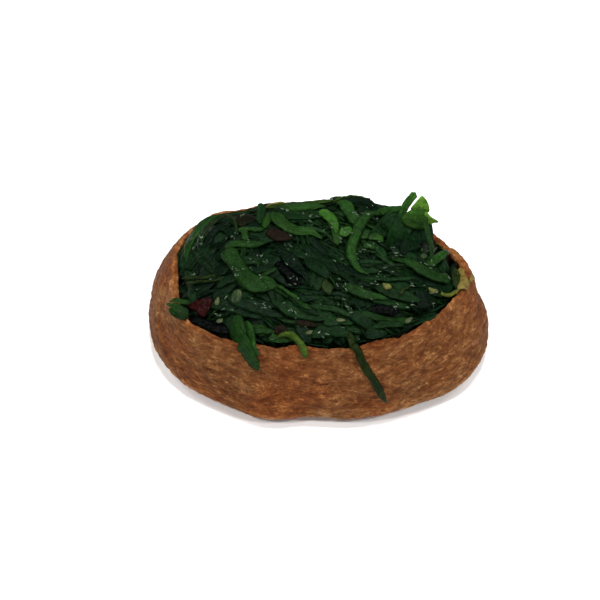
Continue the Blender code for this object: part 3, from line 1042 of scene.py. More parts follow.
# Named strands that lie on the heap: (plan points, width, thickness, colour, options).
LAID_STRANDS = (
    # leaves along the rear and the left
    (((-29.4, 12.6), (-26.6, 15.2), (-23.2, 16.8), (-19.0, 17.4), (-14.5, 17.4)), 2.6, 0.5, OLIVE, WIDE),
    (((-27.6, 12.0), (-25.0, 14.4), (-21.6, 15.2), (-17.4, 15.0)), 2.6, 0.4, BOTTLE, WIDE),
    (((-20.0, 10.6), (-16.6, 11.6), (-13.6, 11.2)), 4.0, 0.5, BROWN, WIDE),
    (((-12.5, 17.8), (-6.0, 18.8), (0.0, 18.6), (5.0, 17.6)), 3.0, 0.4, KHAKI, WIDE),
    (((-9.0, 15.4), (-3.5, 16.4), (2.0, 15.8)), 2.8, 0.4, LEAF, WIDE),
    (((-12.4, 18.6), (-10.8, 19.6), (-9.0, 20.1), (-7.4, 20.1)), 1.1, 0.4, OCHRE, {}),
    (((-27.4, 3.0), (-26.8, 7.6), (-25.4, 11.4), (-22.4, 12.6), (-19.6, 10.8), (-18.4, 8.0)), 1.8, 0.6,
     BOTTLE, {}),
    (((-25.2, 3.6), (-24.6, 7.2), (-22.8, 9.0), (-20.6, 7.6), (-19.6, 4.8)), 2.2, 0.5, DARK, {}),
    (((-22.6, 16.2), (-25.2, 15.0), (-27.6, 12.6), (-29.4, 9.2), (-30.2, 5.4), (-30.2, 2.0)), 2.6, 0.6, STRAP,
     {"columns": 7, "ruffle": 0.15, "ends": (0.3, 0.4), "edge_light": 0.8}),
    (((-26.8, 4.2), (-26.0, 8.0), (-23.8, 11.6), (-20.8, 12.8), (-18.9, 9.4), (-18.7, 6.4)), 0.8, 0.5, OLIVE, {}),
    (((-27.0, 8.6), (-26.6, 5.6)), 1.4, 0.5, MOSS, {}),
    (((-31.0, -3.4), (-28.4, -4.2), (-25.6, -5.4), (-22.3, -4.8)), 0.9, 0.5, OLIVE, {}),
    (((-29.9, -5.9), (-26.6, -6.9), (-23.3, -7.5), (-20.6, -6.4)), 0.8, 0.5, OLIVE, {}),
    (((-27.8, 0.8), (-25.4, -1.5), (-23.4, -4.5)), 1.2, 0.5, BOTTLE, {}),
    # deep gaps between the leaves, painted as near-black sheets of shade
    (((-28.8, -13.8), (-26.3, -15.4), (-22.9, -17.2), (-19.7, -18.6)), 2.6, 0.3, PAINTED_GAP_SHADE, {"edge_light": 0.0}),
    (((-8.9, -1.8), (-7.6, -4.2), (-5.9, -6.4), (-3.9, -9.6)), 3.6, 0.3, PAINTED_GAP_SHADE, {"edge_light": 0.0}),
    # long leaves along the front
    (((-25.5, -11.6), (-21.4, -13.2), (-16.0, -15.4), (-12.4, -16.8)), 2.6, 0.5, BOTTLE, WIDE),
    (((-21.4, -10.6), (-17.3, -13.6), (-12.4, -15.4), (-7.6, -17.2)), 2.8, 0.5, BOTTLE, WIDE),
    (((-10.5, -13.2), (-6.5, -15.2), (-1.0, -17.1), (3.2, -17.8)), 3.2, 0.5, DEEP, WIDE),
    (((-6.7, -12.0), (-3.9, -15.2), (0.1, -17.6)), 1.8, 0.6, BOTTLE, {}),
    (((-16.6, -18.2), (-13.7, -18.6), (-10.6, -19.6)), 2.4, 0.5, LEAF, WIDE),
    (((-15.1, -19.0), (-12.4, -19.1), (-9.8, -19.4)), 2.0, 0.5, STRAP, WIDE),
    (((-11.2, -20.6), (-8.5, -20.6), (-6.3, -20.6), (-4.7, -21.0)), 2.2, 0.5, STRAP, WIDE),
    (((-1.6, -21.2), (0.7, -20.3), (3.8, -20.1), (6.6, -21.2)), 3.4, 0.5, DEEP, WIDE),
    (((1.0, -18.9), (4.0, -18.4), (7.4, -18.8)), 2.2, 0.4, DEEP, WIDE),
    (((10.2, -21.2), (12.6, -20.4), (15.0, -20.0)), 2.4, 0.5, BOTTLE, WIDE),
    (((10.8, -17.4), (15.8, -17.0), (21.2, -15.9)), 1.6, 0.4, MOSS, {}),
    (((11.7, -19.3), (15.7, -18.2), (18.9, -17.5)), 1.4, 0.4, DEEP, {}),
    # the right
    (((22.9, -8.4), (23.4, -11.2), (22.3, -13.6)), 4.0, 0.4, DARK, WIDE),
    (((10.7, -12.0), (13.6, -13.4), (20.3, -13.7)), 2.4, 0.5, DEEP, WIDE),
    (((12.5, -10.3), (15.7, -11.0), (19.0, -11.7), (22.6, -12.4)), 2.6, 0.5, DEEP, WIDE),
    (((18.0, -12.0), (18.7, -10.6), (20.4, -9.5)), 0.9, 0.4, OLIVE, {}),
    (((12.0, -3.4), (17.0, -6.0), (22.6, -8.4)), 1.4, 0.5, BOTTLE, {}),
    (((9.0, -8.2), (15.0, -8.0), (22.0, -7.0)), 1.2, 0.5, DEEP, {}),
    (((31.2, 0.2), (31.5, -2.4), (31.1, -5.4)), 2.0, 0.5, MOSS, {}),
    # painted shade: a near-black sheet in the gap at the front right
    (((11.0, -15.6), (14.5, -15.3), (17.8, -15.2)), 2.6, 0.3, PAINTED_GAP_SHADE, {"edge_light": 0.0, "ends": (0.3, 0.3)}),
    # the middle
    (((5.4, -9.8), (8.7, -11.6), (11.8, -12.8), (15.4, -13.4)), 2.4, 0.6, STRAP, WIDE),
    (((-6.9, -11.2), (-4.1, -14.9), (-1.4, -17.0)), 1.2, 0.5, MOSS, {}),
    (((-9.3, 1.0), (-7.2, -1.5), (-5.0, -4.2), (-3.2, -7.0), (-1.6, -11.0)), 2.9, 0.5, DARK,
     {"columns": 7, "ends": (0.3, 0.5), "blunt": 0.8, "edge_light": 0.6}),
    (((-14.4, -9.4), (-11.8, -9.5), (-9.2, -10.3)), 4.0, 0.6, STRAP, WIDE),
    (((-9.4, -9.6), (-7.6, -11.2), (-4.1, -14.1)), 1.1, 0.6, LEAF, {}),
    (((-5.0, 2.1), (-1.8, 0.0), (1.5, -3.6), (4.8, -7.4)), 3.4, 0.4, BOTTLE, WIDE),
    (((-3.0, -2.4), (0.0, -6.0), (2.4, -9.2)), 2.8, 0.4, BOTTLE, WIDE),
    (((1.2, -9.0), (1.9, -11.0), (2.5, -13.0)), 2.4, 0.6, FADED, {"ends": (0.3, 0.3)}),
    # the folded strap at the left
    (((-11.6, 3.1), (-13.5, 2.2), (-16.0, 1.9), (-18.9, 2.1), (-20.9, 0.9)), 2.3, 0.8, STRAP,
     {"ends": (0.3, 0.05)}),
    (((-20.2, 0.8), (-19.6, -1.4), (-18.2, -4.0), (-16.1, -8.0), (-13.6, -10.4), (-11.0, -11.4)), 4.0, 0.9,
     STRAP, {"columns": 7, "ends": (0.06, 0.25), "blunt": 0.4, "curl": -0.14}),
    (((-18.4, 6.9), (-16.1, 7.2), (-13.6, 6.9), (-12.1, 7.8)), 1.5, 0.8, BRANCH,
     {"ends": (0.08, 0.2), "blunt": 0.35}),
    (((-12.1, 7.8), (-11.7, 10.4), (-10.4, 13.2)), 2.2, 0.7, LEAF, {}),
    (((-16.8, 6.6), (-16.5, 3.1)), 1.9, 0.6, LEAF, {"ends": (0.1, 0.1)}),
    (((-10.4, 13.4), (-8.4, 10.0), (-6.1, 7.9), (-3.8, 6.2), (-1.3, 5.6), (1.0, 4.1)), 3.6, 0.5, LEAF,
     {"columns": 7, "ruffle": 0.25, "ends": (0.15, 0.4)}),
    # the rear and the branch
    (((4.3, 14.0), (6.6, 16.4), (9.4, 17.2), (12.0, 16.6), (14.2, 14.7)), 1.6, 0.7, BOTTLE, {}),
    (((6.0, 14.6), (8.6, 15.8), (11.4, 15.4), (12.9, 13.4)), 1.8, 0.6, DARK, {}),
    (((3.6, 16.0), (6.0, 17.4), (8.8, 18.2), (12.4, 17.8)), 0.9, 0.6, KHAKI, {}),
    (((4.4, 15.0), (6.4, 13.9), (7.6, 10.7), (9.0, 7.4)), 2.8, 0.6, BRANCH, {"columns": 7, "ends": (0.2, 0.2)}),
    (((8.4, 5.6), (11.0, 5.8), (13.6, 5.0), (15.0, 4.0)), 3.0, 0.7, LEAF, {"columns": 7, "ends": (0.15, 0.4)}),
    (((2.6, 10.4), (3.8, 7.2), (4.3, 4.4), (4.3, 1.9)), 2.3, 0.6, LEAF,
     {"columns": 7, "ends": (0.2, 0.3), "blunt": 0.4}),
    (((0.2, 12.3), (1.9, 11.4), (3.3, 9.2), (4.0, 6.8), (4.2, 4.6)), 2.5, 0.6, SPRING,
     {"columns": 7, "ends": (0.12, 0.5), "blunt": 0.5}),
    (((10.2, 1.0), (11.6, 1.4), (12.9, 0.6)), 1.9, 0.8, BRANCH, {"ends": (0.3, 0.3)}),
    (((15.8, 14.0), (12.8, 11.8), (10.4, 8.8), (8.7, 4.8), (7.6, 1.0), (7.5, -1.6), (8.3, -4.0),
      (9.5, -5.9), (11.3, -6.8)), 2.4, 0.9, BRANCH, {"ends": (0.2, 0.25), "blunt": 0.5}),
    (((5.4, 6.4), (6.4, 5.4), (7.6, 4.6)), 3.4, 0.7, BRIGHT,
     {"columns": 7, "ruffle": 0.3, "ends": (0.25, 0.2), "blunt": 0.5}),
    (((-19.2, -17.2), (-17.8, -17.8), (-16.6, -18.2)), 1.4, 0.7, LEAF, {"ends": (0.2, 0.3)}),
    (((-17.0, -18.0), (-15.4, -18.4), (-14.2, -19.2)), 1.6, 0.7, BRANCH, {"ends": (0.2, 0.3)}),
    # the right end
    (((25.0, -2.0), (27.4, 1.1), (30.0, 4.3)), 2.1, 0.9, BRANCH, {"ends": (0.1, 0.12), "blunt": 0.4}),
    (((16.6, -1.0), (19.7, -2.1), (22.8, -3.4), (26.0, -4.5), (29.8, -4.6)), 3.2, 0.9, STRAP,
     {"columns": 7, "ends": (0.5, 0.04), "blunt": 0.5}),
)


def lay_named_strands(salad, mesh):
    for points, width, thickness, colour, options in LAID_STRANDS:
        path = smooth_path(points, 0.5)
        settings = {"columns": 5, "reach": 4, "curl": -0.08, "sink": 0.3, "mesh": mesh}
        settings.update(options)
        salad.lay(path, width, thickness, colour, **settings)


# ---------------------------------------------------------------- free leaves

def free_sheet(points, width, columns, face, ends, blunt, cup=0.15):
    """A leaf's middle sheet along points in the air, its face turned to a direction."""
    path = smooth_path(points, 0.5)
    ahead = unit(np.gradient(path, axis=0))
    side = unit(np.cross(np.asarray(face, float)[None, :], ahead))
    lift = np.cross(ahead, side)
    across = np.linspace(-1.0, 1.0, columns)
    half = 0.5 * width * taper(len(path), *ends, blunt)
    middle = path[:, None, :] + across[None, :, None] * half[:, None, None] * side[:, None, :]
    return middle + (cup * across ** 2)[None, :, None] * half[:, None, None] * lift[:, None, :]


# Strands that stand clear: (points, width, thickness, colour, face, start and end taper, bluntness,
# tone at the start and the end).
TUFT = (
    # the finger and the strand that leads to it
    (((19.0, 12.3, 27.2), (20.5, 13.8, 29.9), (21.7, 14.7, 31.3), (22.7, 15.5, 32.3)), 1.9, 0.9, BRIGHT,
     (0.1, -1.0, 0.7), (0.35, 0.06), 0.4, (-0.3, 0.3)),
    (((12.0, 13.4, 26.8), (15.2, 13.4, 28.2), (18.3, 13.4, 29.1), (20.2, 13.4, 29.8)), 1.7, 0.8, BRANCH,
     (0.1, -1.0, 0.9), (0.3, 0.3), 0.5, (-0.2, 0.3)),
    # dark leaves from under the tuft down into the salad
    (((20.4, 13.4, 28.6), (18.2, 12.2, 27.4), (16.4, 10.2, 27.0), (14.3, 7.0, 27.6), (11.4, 4.2, 28.2)), 4.6, 0.5,
     DEEP, (0.2, -0.8, 1.0), (0.1, 0.4), 0.5, (0.5, -0.5)),
    (((21.6, 13.0, 28.2), (20.4, 11.2, 26.6), (19.0, 8.6, 25.9), (17.6, 5.4, 26.4), (15.4, 1.2, 28.0)), 5.2, 0.5,
     DEEP, (0.2, -0.8, 1.0), (0.1, 0.4), 0.5, (0.7, -0.6)),
    (((23.6, 12.3, 27.6), (23.0, 11.2, 25.8), (22.4, 8.8, 24.6), (21.2, 5.2, 25.4), (19.0, 0.4, 27.4)), 5.4, 0.5,
     BOTTLE, (0.3, -0.8, 1.0), (0.1, 0.4), 0.5, (1.1, -0.6)),
    (((24.9, 12.0, 27.6), (25.4, 10.6, 25.6), (25.4, 8.2, 24.2), (25.2, 4.6, 24.6), (24.0, 0.6, 25.4)), 3.0, 0.5,
     BOTTLE, (0.5, -0.6, 1.0), (0.1, 0.4), 0.5, (1.0, -0.6)),
    # the thin stalk at the right
    (((24.9, 10.5, 28.2), (25.3, 7.0, 27.0), (26.0, 4.0, 26.0), (25.8, 1.0, 25.6), (24.7, 0.2, 25.0)), 1.2,
     0.5, MOSS, (0.4, -0.4, 1.0), (0.1, 0.2), 0.6, (0.3, -0.3)),
    # the leaf that lies out over the left corner
    (((-28.6, -13.8, 22.4), (-30.4, -13.6, 22.9), (-32.2, -12.2, 23.1), (-34.0, -10.8, 22.5)), 2.2, 0.5,
     STRAP, (0.0, -0.3, 1.0), (0.1, 0.5), 0.7, (-0.6, 0.5)),
    (((-28.4, -10.6, 22.6), (-30.4, -10.8, 23.0), (-32.2, -10.2, 23.0), (-33.4, -10.6, 22.7)), 1.3, 0.5,
     LEAF, (0.0, -0.3, 1.0), (0.1, 0.4), 0.6, (-0.6, 0.3)),
    (((-29.0, -15.0, 22.2), (-30.6, -15.0, 22.5), (-32.2, -13.8, 22.6), (-33.4, -12.2, 22.4)), 1.5, 0.5,
     MOSS, (0.0, -0.3, 1.0), (0.1, 0.4), 0.6, (-0.6, 0.3)),
    # the tip at the rear left
    (((-13.4, 9.6, 28.0), (-13.2, 13.2, 28.0), (-13.0, 16.6, 27.8)), 2.1, 0.7, DEEP, (0.4, -0.8, 1.0),
     (0.2, 0.15), 0.5, (0.0, 0.3)),
)

# Flat leaves given by their corners: (corners, thickness, colour).
LEAF_PIECES = (
    (((19.5, 11.0, 27.6), (20.1, 12.0, 28.5), (22.1, 13.0, 29.4), (24.9, 13.0, 29.5), (25.7, 12.0, 28.0),
      (25.3, 10.0, 26.4), (22.9, 9.5, 26.2), (20.6, 10.0, 26.9)), 0.6, FACE),
    (((21.6, 13.2, 29.2), (22.9, 14.2, 30.6), (24.0, 15.0, 31.6), (24.9, 15.0, 31.1), (25.9, 14.0, 29.6),
      (25.8, 13.2, 28.2), (23.6, 13.1, 28.6)), 0.5, LIME),
    (((25.0, 12.5, 29.2), (26.4, 12.0, 27.9), (28.2, 11.5, 26.7), (26.8, 11.3, 26.4), (25.3, 11.0, 26.0),
      (24.7, 11.6, 27.6)), 0.5, LIME),
    (((31.2, 0.2, 22.8), (32.3, -1.6, 22.9), (32.4, -4.4, 22.9), (31.2, -6.4, 22.6), (30.4, -3.4, 23.0)),
     0.6, OLIVE),
)
PALE_PIECES = (
    (((31.8, -0.8, 22.6), (32.5, 0.4, 22.5), (33.5, 0.2, 22.4), (33.5, -1.6, 22.7), (33.9, -3.2, 22.8),
      (34.4, -4.8, 22.8), (33.9, -5.8, 22.7), (33.8, -6.7, 22.5), (32.7, -6.4, 22.8), (31.6, -6.7, 22.6),
      (31.5, -5.8, 22.8), (32.0, -4.8, 23.0), (32.3, -3.4, 23.0), (31.9, -2.1, 22.9)), 0.5),
    (((34.5, -3.0, 22.7), (35.3, -1.2, 22.4), (35.6, -2.6, 22.5), (34.7, -4.3, 22.7)), 0.4),
)


def add_tuft(mesh):
    for index, (points, width, thickness, colour, face, ends, blunt, tones) in enumerate(TUFT):
        middle = free_sheet(points, width, 7, face, ends, blunt)
        rows = len(middle)
        drift = np.linspace(*tones, rows)
        depth = lens(7, thickness)[None, :] * taper(rows, *ends, blunt)[:, None].clip(0.3)
        mesh.add(middle, depth, tinted(rows, 7, colour, 0.3, drift), 500 + index)


# Strands over the rim: points on the salad, then stops on the wall as (angle, travel down it from
# the rim's crest), then width at the start and end, thickness, colour, end tapers.
OVER_RIM = (
    (((-19.4, -16.2, 23.0), (-18.6, -17.8, 23.0)), ((-127.5, 0.0), (-123.5, 2.0), (-119.0, 5.2), (-115.0, 7.6)),
     (6.4, 2.2), 0.6, STRAP, (0.12, 0.1)),
    (((-16.4, -17.4, 23.4), (-15.8, -18.8, 23.4)), ((-122.0, 0.0), (-120.5, 1.2), (-118.0, 2.8), (-115.4, 3.6)),
     (3.6, 1.4), 0.6, BRANCH, (0.2, 0.3)),
    (((-8.9, -20.4, 21.9), (-7.4, -20.2, 22.6), (-5.6, -21.4, 23.2)), ((-96.5, 0.0), (-93.6, 1.8), (-93.0, 3.9)),
     (1.8, 1.6), 0.9, HOOK, (0.3, 0.08)),
    (((4.8, -19.0, 23.0), (6.8, -21.2, 23.0)), ((-67.0, 0.0), (-65.0, 5.0), (-61.0, 11.2), (-57.4, 17.6)),
     (1.7, 1.9), 0.9, KELP, (0.1, 0.18)),
)
CLEARANCE = 0.7
STOP_SCALE = np.array((0.4, 1.0))


def wall_point(angle, travel):
    """A point that lies on the pouch, a distance down its outside from the rim's crest."""
    turn = np.array((math.radians(angle),))
    radius, height = pouch_profile(turn, POUCH_LOWER, POUCH_UPPER, POUCH_RIM)
    in_radius, in_height = inward(radius, height)
    radius, height = radius[0] - CLEARANCE * in_radius[0], height[0] - CLEARANCE * in_height[0]
    crest = POUCH_LOWER + POUCH_UPPER + 1 + POUCH_RIM // 2
    steps = np.hypot(np.diff(radius[:crest + 1]), np.diff(height[:crest + 1]))
    below = np.concatenate(([0.0], np.cumsum(steps[::-1])))
    along = np.interp(travel, below, radius[crest::-1])
    point = (along * math.cos(turn[0]) - MIDDLE[0], along * math.sin(turn[0]) - MIDDLE[1],
             np.interp(travel, below, height[crest::-1]))
    return point


def add_over_rim(mesh):
    for index, (inside, stops, widths, thickness, colour, ends) in enumerate(OVER_RIM):
        wall = []
        stations = smooth_path(np.array(stops) * STOP_SCALE, 1.2) / STOP_SCALE
        for angle, travel in stations:
            wall.append(wall_point(angle, travel))
        path = smooth_path(list(inside) + wall, 0.5)
        rows = len(path)
        centre = np.array((-MIDDLE[0], -MIDDLE[1], 8.0))
        outward = unit(path - centre)
        outward[:, 2] = np.maximum(outward[:, 2], 0.15)
        ahead = unit(np.gradient(path, axis=0))
        side = unit(np.cross(outward, ahead))
        normal = np.cross(ahead, side)
        shares = taper(rows, *ends, 0.5)
        across = np.linspace(-1.0, 1.0, 7)
        half = 0.5 * np.linspace(*widths, rows) * shares
        middle = path[:, None, :] + across[None, :, None] * half[:, None, None] * side[:, None, :]
        middle -= 0.12 * (across ** 2)[None, :, None] * half[:, None, None] * normal[:, None, :]
        depth = lens(7, thickness)[None, :] * shares[:, None].clip(0.3)
        mesh.add(middle, depth, tinted(rows, 7, colour, 0.15, np.zeros(rows)), 600 + index)


# ---------------------------------------------------------------- small things

def blob(centre, size, turn, tilt, pinch=0.0, rough=0.0, seed=0, stacks=10, slices=14):
    """A rounded solid: an ellipsoid, narrower at one end by pinch, turned and tilted."""
    rings = np.linspace(0.0, math.pi, stacks + 1)[1:-1]
    around = math.tau * np.arange(slices) / slices
    x = np.cos(rings)[:, None] + 0.0 * around
    body = np.sin(rings)[:, None] * (1.0 + pinch * np.cos(rings)[:, None])
    y, z = body * np.cos(around), body * np.sin(around)
    points = np.stack((x, y, z), axis=2).reshape(-1, 3)
    points = np.vstack((points, (1.0, 0.0, 0.0), (-1.0, 0.0, 0.0)))
    if rough:
        points *= 1.0 + rough * Noise(seed).at(points * 1.4 + seed)[:, None]
    points = points * (np.asarray(size, float) / 2.0)
    lean, spin = math.radians(tilt), math.radians(turn)
    pitch = np.array(((math.cos(lean), 0, -math.sin(lean)), (0, 1, 0), (math.sin(lean), 0, math.cos(lean))))
    yaw = np.array(((math.cos(spin), -math.sin(spin), 0), (math.sin(spin), math.cos(spin), 0), (0, 0, 1)))
    points = points @ pitch.T @ yaw.T + np.asarray(centre, float)
    faces = []
    for ring in range(len(rings) - 1):
        for slice_ in range(slices):
            after = (slice_ + 1) % slices
            faces.append((ring * slices + slice_, ring * slices + after,
                          (ring + 1) * slices + after, (ring + 1) * slices + slice_))
    north, south = len(points) - 2, len(points) - 1
    last = (len(rings) - 1) * slices
    for slice_ in range(slices):
        after = (slice_ + 1) % slices
        faces.append((north, after, slice_))
        faces.append((south, last + slice_, last + after))
    return points, faces


def join_solids(name, solids, material):
    """One piece of the seaweed salad made of several closed solids."""
    points, faces, start = [], [], 0
    for solid_points, solid_faces in solids:
        points.append(solid_points)
        faces += [tuple(index + start for index in face) for face in solid_faces]
        start += len(solid_points)
    mesh = bpy.data.meshes.new(name)
    mesh.from_pydata((np.vstack(points) * MM).tolist(), [], faces)
    piece = new_piece(name, mesh, material)
    return piece


# Sesame seeds: (x, y, direction, tilt).
SESAME = ((-22.4, -12.2, 80, 20), (-21.6, -15.8, 20, 5), (-1.8, -20.2, 12, 10), (4.9, -18.4, -8, 5),
          (20.0, -16.2, 40, 10), (25.8, -8.6, 15, 10))

# Flat pieces on the heap: (plan corners, thickness).
CHILLI = (((-29.0, -11.4), (-26.4, -11.0), (-23.5, -11.5), (-24.2, -13.4), (-25.6, -14.6), (-27.8, -12.9)), 1.0)
WOOD_EARS = (
    (((-11.9, 5.5), (-11.1, 7.1), (-8.7, 6.6), (-5.9, 4.3), (-6.9, 3.0), (-10.0, 3.4)), 0.8),
    (((-9.6, -18.6), (-7.6, -18.4), (-7.0, -19.6), (-9.2, -19.9)), 0.6),
    (((-5.0, -18.2), (-1.6, -18.6), (-0.6, -19.4), (-4.2, -19.2)), 0.6),
)
GREEN_SLICES = (
    (((25.6, 4.0), (24.6, 5.1), (23.6, 4.0), (24.6, 2.9)), 0.8),
    (((25.0, 1.2), (24.1, 2.1), (23.2, 1.2), (24.1, 0.3)), 0.8),
    (((-16.9, -11.8), (-17.2, -13.6), (-19.0, -13.6), (-19.2, -11.8), (-18.0, -11.0)), 0.8),
)
YELLOW_BITS = (
    (((14.2, -9.8), (15.6, -9.7), (16.2, -10.6), (14.9, -11.2)), 0.9),
    (((24.8, -8.3), (26.6, -8.2), (26.5, -8.9), (24.9, -9.0)), 0.5),
)
PALE_STRIP = ((32.0, -7.0, 22.9), (31.2, -7.5, 23.0), (29.9, -8.6, 23.0), (28.5, -8.8, 23.1), (27.6, -8.2, 23.2),
              (27.4, -7.1, 23.4))

# A flat piece's rounded edge: (share of the outline's size, share of the half thickness).
SLAB_RINGS = ((1.0, 0.0), (0.985, 0.42), (0.93, 0.72), (0.80, 0.92), (0.55, 1.0), (0.25, 1.0))
SLAB_SIDES = 36


def slab(corners, thickness, seed, rough=0.22):
    """A flat piece with rounded edges inside a smooth outline: points and faces."""
    corners = np.asarray(corners, float)
    turn = math.tau * np.arange(SLAB_SIDES) / SLAB_SIDES
    outline = closed_curve(corners, turn)
    middle = outline.mean(axis=0)
    _, _, axes = np.linalg.svd(outline - middle, full_matrices=False)
    normal = axes[2] * (1.0 if axes[2][2] > 0.0 else -1.0)
    rings = []
    for side in (1.0, -1.0):
        for share, rise in SLAB_RINGS[::-1] if side > 0.0 else SLAB_RINGS[1:]:
            rings.append(middle + (outline - middle) * share + side * rise * 0.5 * thickness * normal)
    points = np.vstack(rings + [middle + 0.5 * thickness * normal, middle - 0.5 * thickness * normal])
    points += (rough * Noise(seed).at(points * 0.8))[:, None] * normal
    faces = []
    after = (np.arange(SLAB_SIDES) + 1) % SLAB_SIDES
    for ring in range(len(rings) - 1):
        start = ring * SLAB_SIDES
        for side in range(SLAB_SIDES):
            faces.append((start + side, start + SLAB_SIDES + side, start + SLAB_SIDES + after[side],
                          start + after[side]))
    top, bottom = len(points) - 2, len(points) - 1
    last = (len(rings) - 1) * SLAB_SIDES
    for side in range(SLAB_SIDES):
        faces.append((top, side, after[side]))
        faces.append((bottom, last + after[side], last + side))
    return points, [tuple(int(index) for index in face) for face in faces]


def on_pile(pile, corners, above):
    """Plan corners lifted to lie on the pile, sloped as the heap is there."""
    corners = np.asarray(corners, float)
    slope = heap_surface(corners[:, 0], corners[:, 1])
    lift = np.mean(pile.height(corners[:, 0], corners[:, 1]) - slope)
    return np.column_stack((corners, slope + lift + above))


def seed_grain(pile, x, y, turn, tilt):
    """One sesame seed: a flat drop."""
    height = float(pile.height(np.array(x), np.array(y)))
    return blob((x, y, height + 0.15), SEED_SIZE, turn, tilt, pinch=-0.35)


SEED_SIZE = (2.1, 1.1, 0.6)
DROP_COUNT = 240


def add_droplets(salad):
    """Small drops of dressing on the strands, in groups, drawn out along the way they run, pale in colour as painted
    glints.
    """
    random = salad.random
    clusters = Noise(21)
    drops = []
    while len(drops) < DROP_COUNT:
        x, y = random.uniform(-34.0, 36.0), random.uniform(-24.0, 22.0)
        if heap_share(x, y) > 0.94 or y > 15.0 or clusters.at(np.array((x, y, 0.0)) / 4.0) < 0.18:
            continue
        length, width = random.uniform(0.30, 1.20), random.uniform(0.16, 0.30)
        height = float(salad.pile.height(np.array(x), np.array(y)))
        turn = math.degrees(flow_direction(x, y)) + random.normal(0.0, 35.0)
        drops.append(blob((x, y, height + 0.06), (length, width, 0.36), turn, random.normal(0.0, 12.0),
                          stacks=5, slices=8))
    # painted highlight: the drops are coloured pale so that they read as glints
    material = plain_food_material("dressing_painted_glints", (0.012, 0.030, 0.012), (0.105, 0.145, 0.090), 2500.0, 0.06,
                                   0.0, 0.35)
    join_solids("dressing_glint_drops", drops, material)


# Painted shade: leaf pieces darker where they lie low and lighter where they stand high.
PAINTED_LEAF_SHADE = 0.28


def add_small_things(pile, leaf_material):
    seed_material = plain_food_material("sesame", (0.028, 0.038, 0.015), (0.056, 0.066, 0.026), 1400.0, 0.35)
    join_solids("sesame_seeds", [seed_grain(pile, *place) for place in SESAME], seed_material)

    chilli_material = plain_food_material("chilli", (0.0070, 0.0008, 0.0006), (0.0150, 0.0016, 0.0011),
                                          700.0, 0.20, 0.0006, 0.04)
    corners, thickness = CHILLI
    join_solids("chilli_slice", [slab(on_pile(pile, corners, 0.5), thickness, 31)], chilli_material)

    ear_material = plain_food_material("wood_ear", (0.0045, 0.0026, 0.0010), (0.0095, 0.0060, 0.0032),
                                       1500.0, 0.55, 0.0005, 0.04)
    ears = [slab(on_pile(pile, corners, 0.35), thickness, 40 + index)
            for index, (corners, thickness) in enumerate(WOOD_EARS)]
    join_solids("wood_ear_slices", ears, ear_material)

    slice_material = plain_food_material("stem_slice", (0.009, 0.020, 0.006), (0.022, 0.038, 0.012), 700.0, 0.25)
    slices = [slab(on_pile(pile, corners, 0.3), thickness, 50 + index)
              for index, (corners, thickness) in enumerate(GREEN_SLICES)]
    join_solids("stem_slices", slices, slice_material)

    yellow_material = plain_food_material("yellow_bit", (0.040, 0.048, 0.010), (0.100, 0.100, 0.022), 900.0, 0.3)
    bits = [slab(on_pile(pile, corners, 0.4), thickness, 60 + index)
            for index, (corners, thickness) in enumerate(YELLOW_BITS)]
    join_solids("yellow_bits", bits, yellow_material)

    pale_material = plain_food_material("pale_stem", (0.070, 0.052, 0.010), (0.150, 0.108, 0.024), 700.0, 0.4)
    pales = [slab(corners, thickness, 70 + index, 0.45) for index, (corners, thickness) in enumerate(PALE_PIECES)]
    join_solids("pale_stems", pales, pale_material)

    leaves = []
    colours = []
    for index, (corners, thickness, colour) in enumerate(LEAF_PIECES):
        leaves.append(slab(corners, thickness, 80 + index, 0.35))
        # painted shade: darker low down, lighter high up
        rise = leaves[-1][0][:, 2] - leaves[-1][0][:, 2].mean()
        colours.append(np.array(colour)[None, :] * np.exp(PAINTED_LEAF_SHADE * rise)[:, None])
    piece = join_solids("leaf_pieces", leaves, leaf_material)
    write_attribute(piece.data, "tint", "FLOAT_COLOR", np.vstack(colours))
    places = np.array([vertex.co[:] for vertex in piece.data.vertices]) / MM
    write_attribute(piece.data, "fibre", "FLOAT_VECTOR", places)


# ---------------------------------------------------------------- stage

CAMERA_ELEVATION = 46.0
CAMERA_DISTANCE = 0.340
CAMERA_TARGET = Vector((-0.00407, 0.00432, 0.0080))
CAMERA_LENS = 85.54
SENSOR = 36.0

# Lights: (name, azimuth, elevation, distance, side, power). Azimuth 0 is in front.
LIGHTS = (
    ("top", 20.0, 84.0, 0.9, 0.10, 3.4),
    ("front_left", -48.0, 52.0, 0.9, 0.10, 3.3),
    ("front_right", 50.0, 50.0, 0.9, 0.10, 3.1),
    ("left", -98.0, 58.0, 0.9, 0.30, 2.2),
    ("right", 98.0, 58.0, 0.9, 0.30, 2.2),
    ("back", 175.0, 66.0, 0.9, 0.34, 2.8),
    ("low", 0.0, 30.0, 1.0, 0.20, 2.2),
)


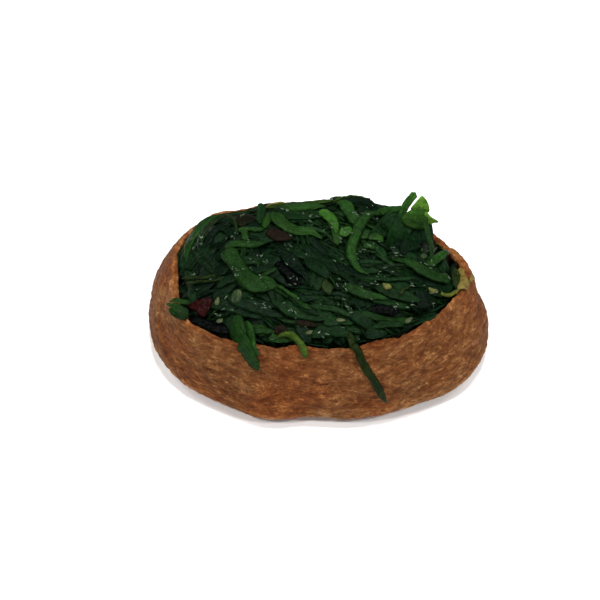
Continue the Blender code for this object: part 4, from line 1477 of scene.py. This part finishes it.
def build_stage():
    scene = bpy.context.scene
    scene.view_settings.view_transform = "Standard"
    world = bpy.data.worlds.new("studio")
    world.use_nodes = True
    background = world.node_tree.nodes["Background"]
    background.inputs["Color"].default_value = (0.9, 0.95, 1.0, 1.0)
    background.inputs["Strength"].default_value = 0.06
    scene.world = world

    camera_data = bpy.data.cameras.new("camera")
    camera_data.sensor_width = SENSOR
    camera_data.lens = CAMERA_LENS
    camera_data.clip_start, camera_data.clip_end = 0.01, 10.0
    camera = bpy.data.objects.new("camera", camera_data)
    lean = math.radians(CAMERA_ELEVATION)
    back = Vector((0.0, -math.cos(lean), math.sin(lean)))
    camera.location = CAMERA_TARGET + back * CAMERA_DISTANCE
    camera.rotation_euler = (math.pi / 2 - lean, 0.0, 0.0)
    scene.collection.objects.link(camera)
    scene.camera = camera

    for name, azimuth, elevation, distance, side, power in LIGHTS:
        data = bpy.data.lights.new(name, "AREA")
        data.shape = "DISK"
        data.size = side
        data.energy = power
        light = bpy.data.objects.new(name, data)
        turn, rise = math.radians(azimuth), math.radians(elevation)
        away = Vector((math.sin(turn) * math.cos(rise), -math.cos(turn) * math.cos(rise), math.sin(rise)))
        light.location = away * distance
        light.rotation_euler = away.to_track_quat("Z", "Y").to_euler()
        scene.collection.objects.link(light)

    floor_material, _, _, shader = new_material("pale_floor")
    shader.inputs["Base Color"].default_value = (0.92, 0.92, 0.92, 1.0)
    shader.inputs["Roughness"].default_value = 0.9
    shader.inputs["Specular IOR Level"].default_value = 0.1
    mesh = bpy.data.meshes.new("floor")
    half = 3.0
    mesh.from_pydata([(-half, -half, 0.0), (half, -half, 0.0), (half, half, 0.0), (-half, half, 0.0)],
                     [], [(0, 1, 2, 3)])
    mesh.materials.append(floor_material)
    floor = bpy.data.objects.new("floor", mesh)
    scene.collection.objects.link(floor)


def build_salad():
    seaweed = seaweed_material()
    # painted shade: the core is near black so that gaps between the strands read as deep shadow
    core_material = plain_food_material("salad_inside_painted_shade", (0.0015, 0.0035, 0.0020), (0.003, 0.007, 0.0035),
                                        300.0, 0.4, specular=0.03)
    build_core(core_material)
    salad = Salad(11)
    fill_salad(salad)
    named = StrandMesh()
    lay_named_strands(salad, named)
    free = StrandMesh()
    add_tuft(free)
    add_over_rim(free)
    strip = free_sheet(PALE_STRIP, 0.9, 5, (0.0, 0.0, 1.0), (0.2, 0.2), 0.6)
    free.add(strip, np.full(strip.shape[:2], 0.5), tinted(len(strip), 5, YELLOW, 0.3, np.zeros(len(strip))), 700)
    for index, mesh in enumerate(salad.meshes):
        mesh.build(f"salad_strands_{index + 1}", seaweed)
    named.build("top_strands", seaweed)
    free.build("free_strands", seaweed)
    add_small_things(salad.pile, seaweed)
    add_droplets(salad)


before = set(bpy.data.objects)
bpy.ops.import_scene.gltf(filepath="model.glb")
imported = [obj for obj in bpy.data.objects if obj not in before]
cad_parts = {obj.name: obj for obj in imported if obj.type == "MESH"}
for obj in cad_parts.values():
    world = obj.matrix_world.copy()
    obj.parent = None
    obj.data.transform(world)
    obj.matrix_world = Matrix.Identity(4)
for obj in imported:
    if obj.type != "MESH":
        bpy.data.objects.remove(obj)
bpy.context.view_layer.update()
build_stage()
build_pouch(tofu_material())
build_salad()
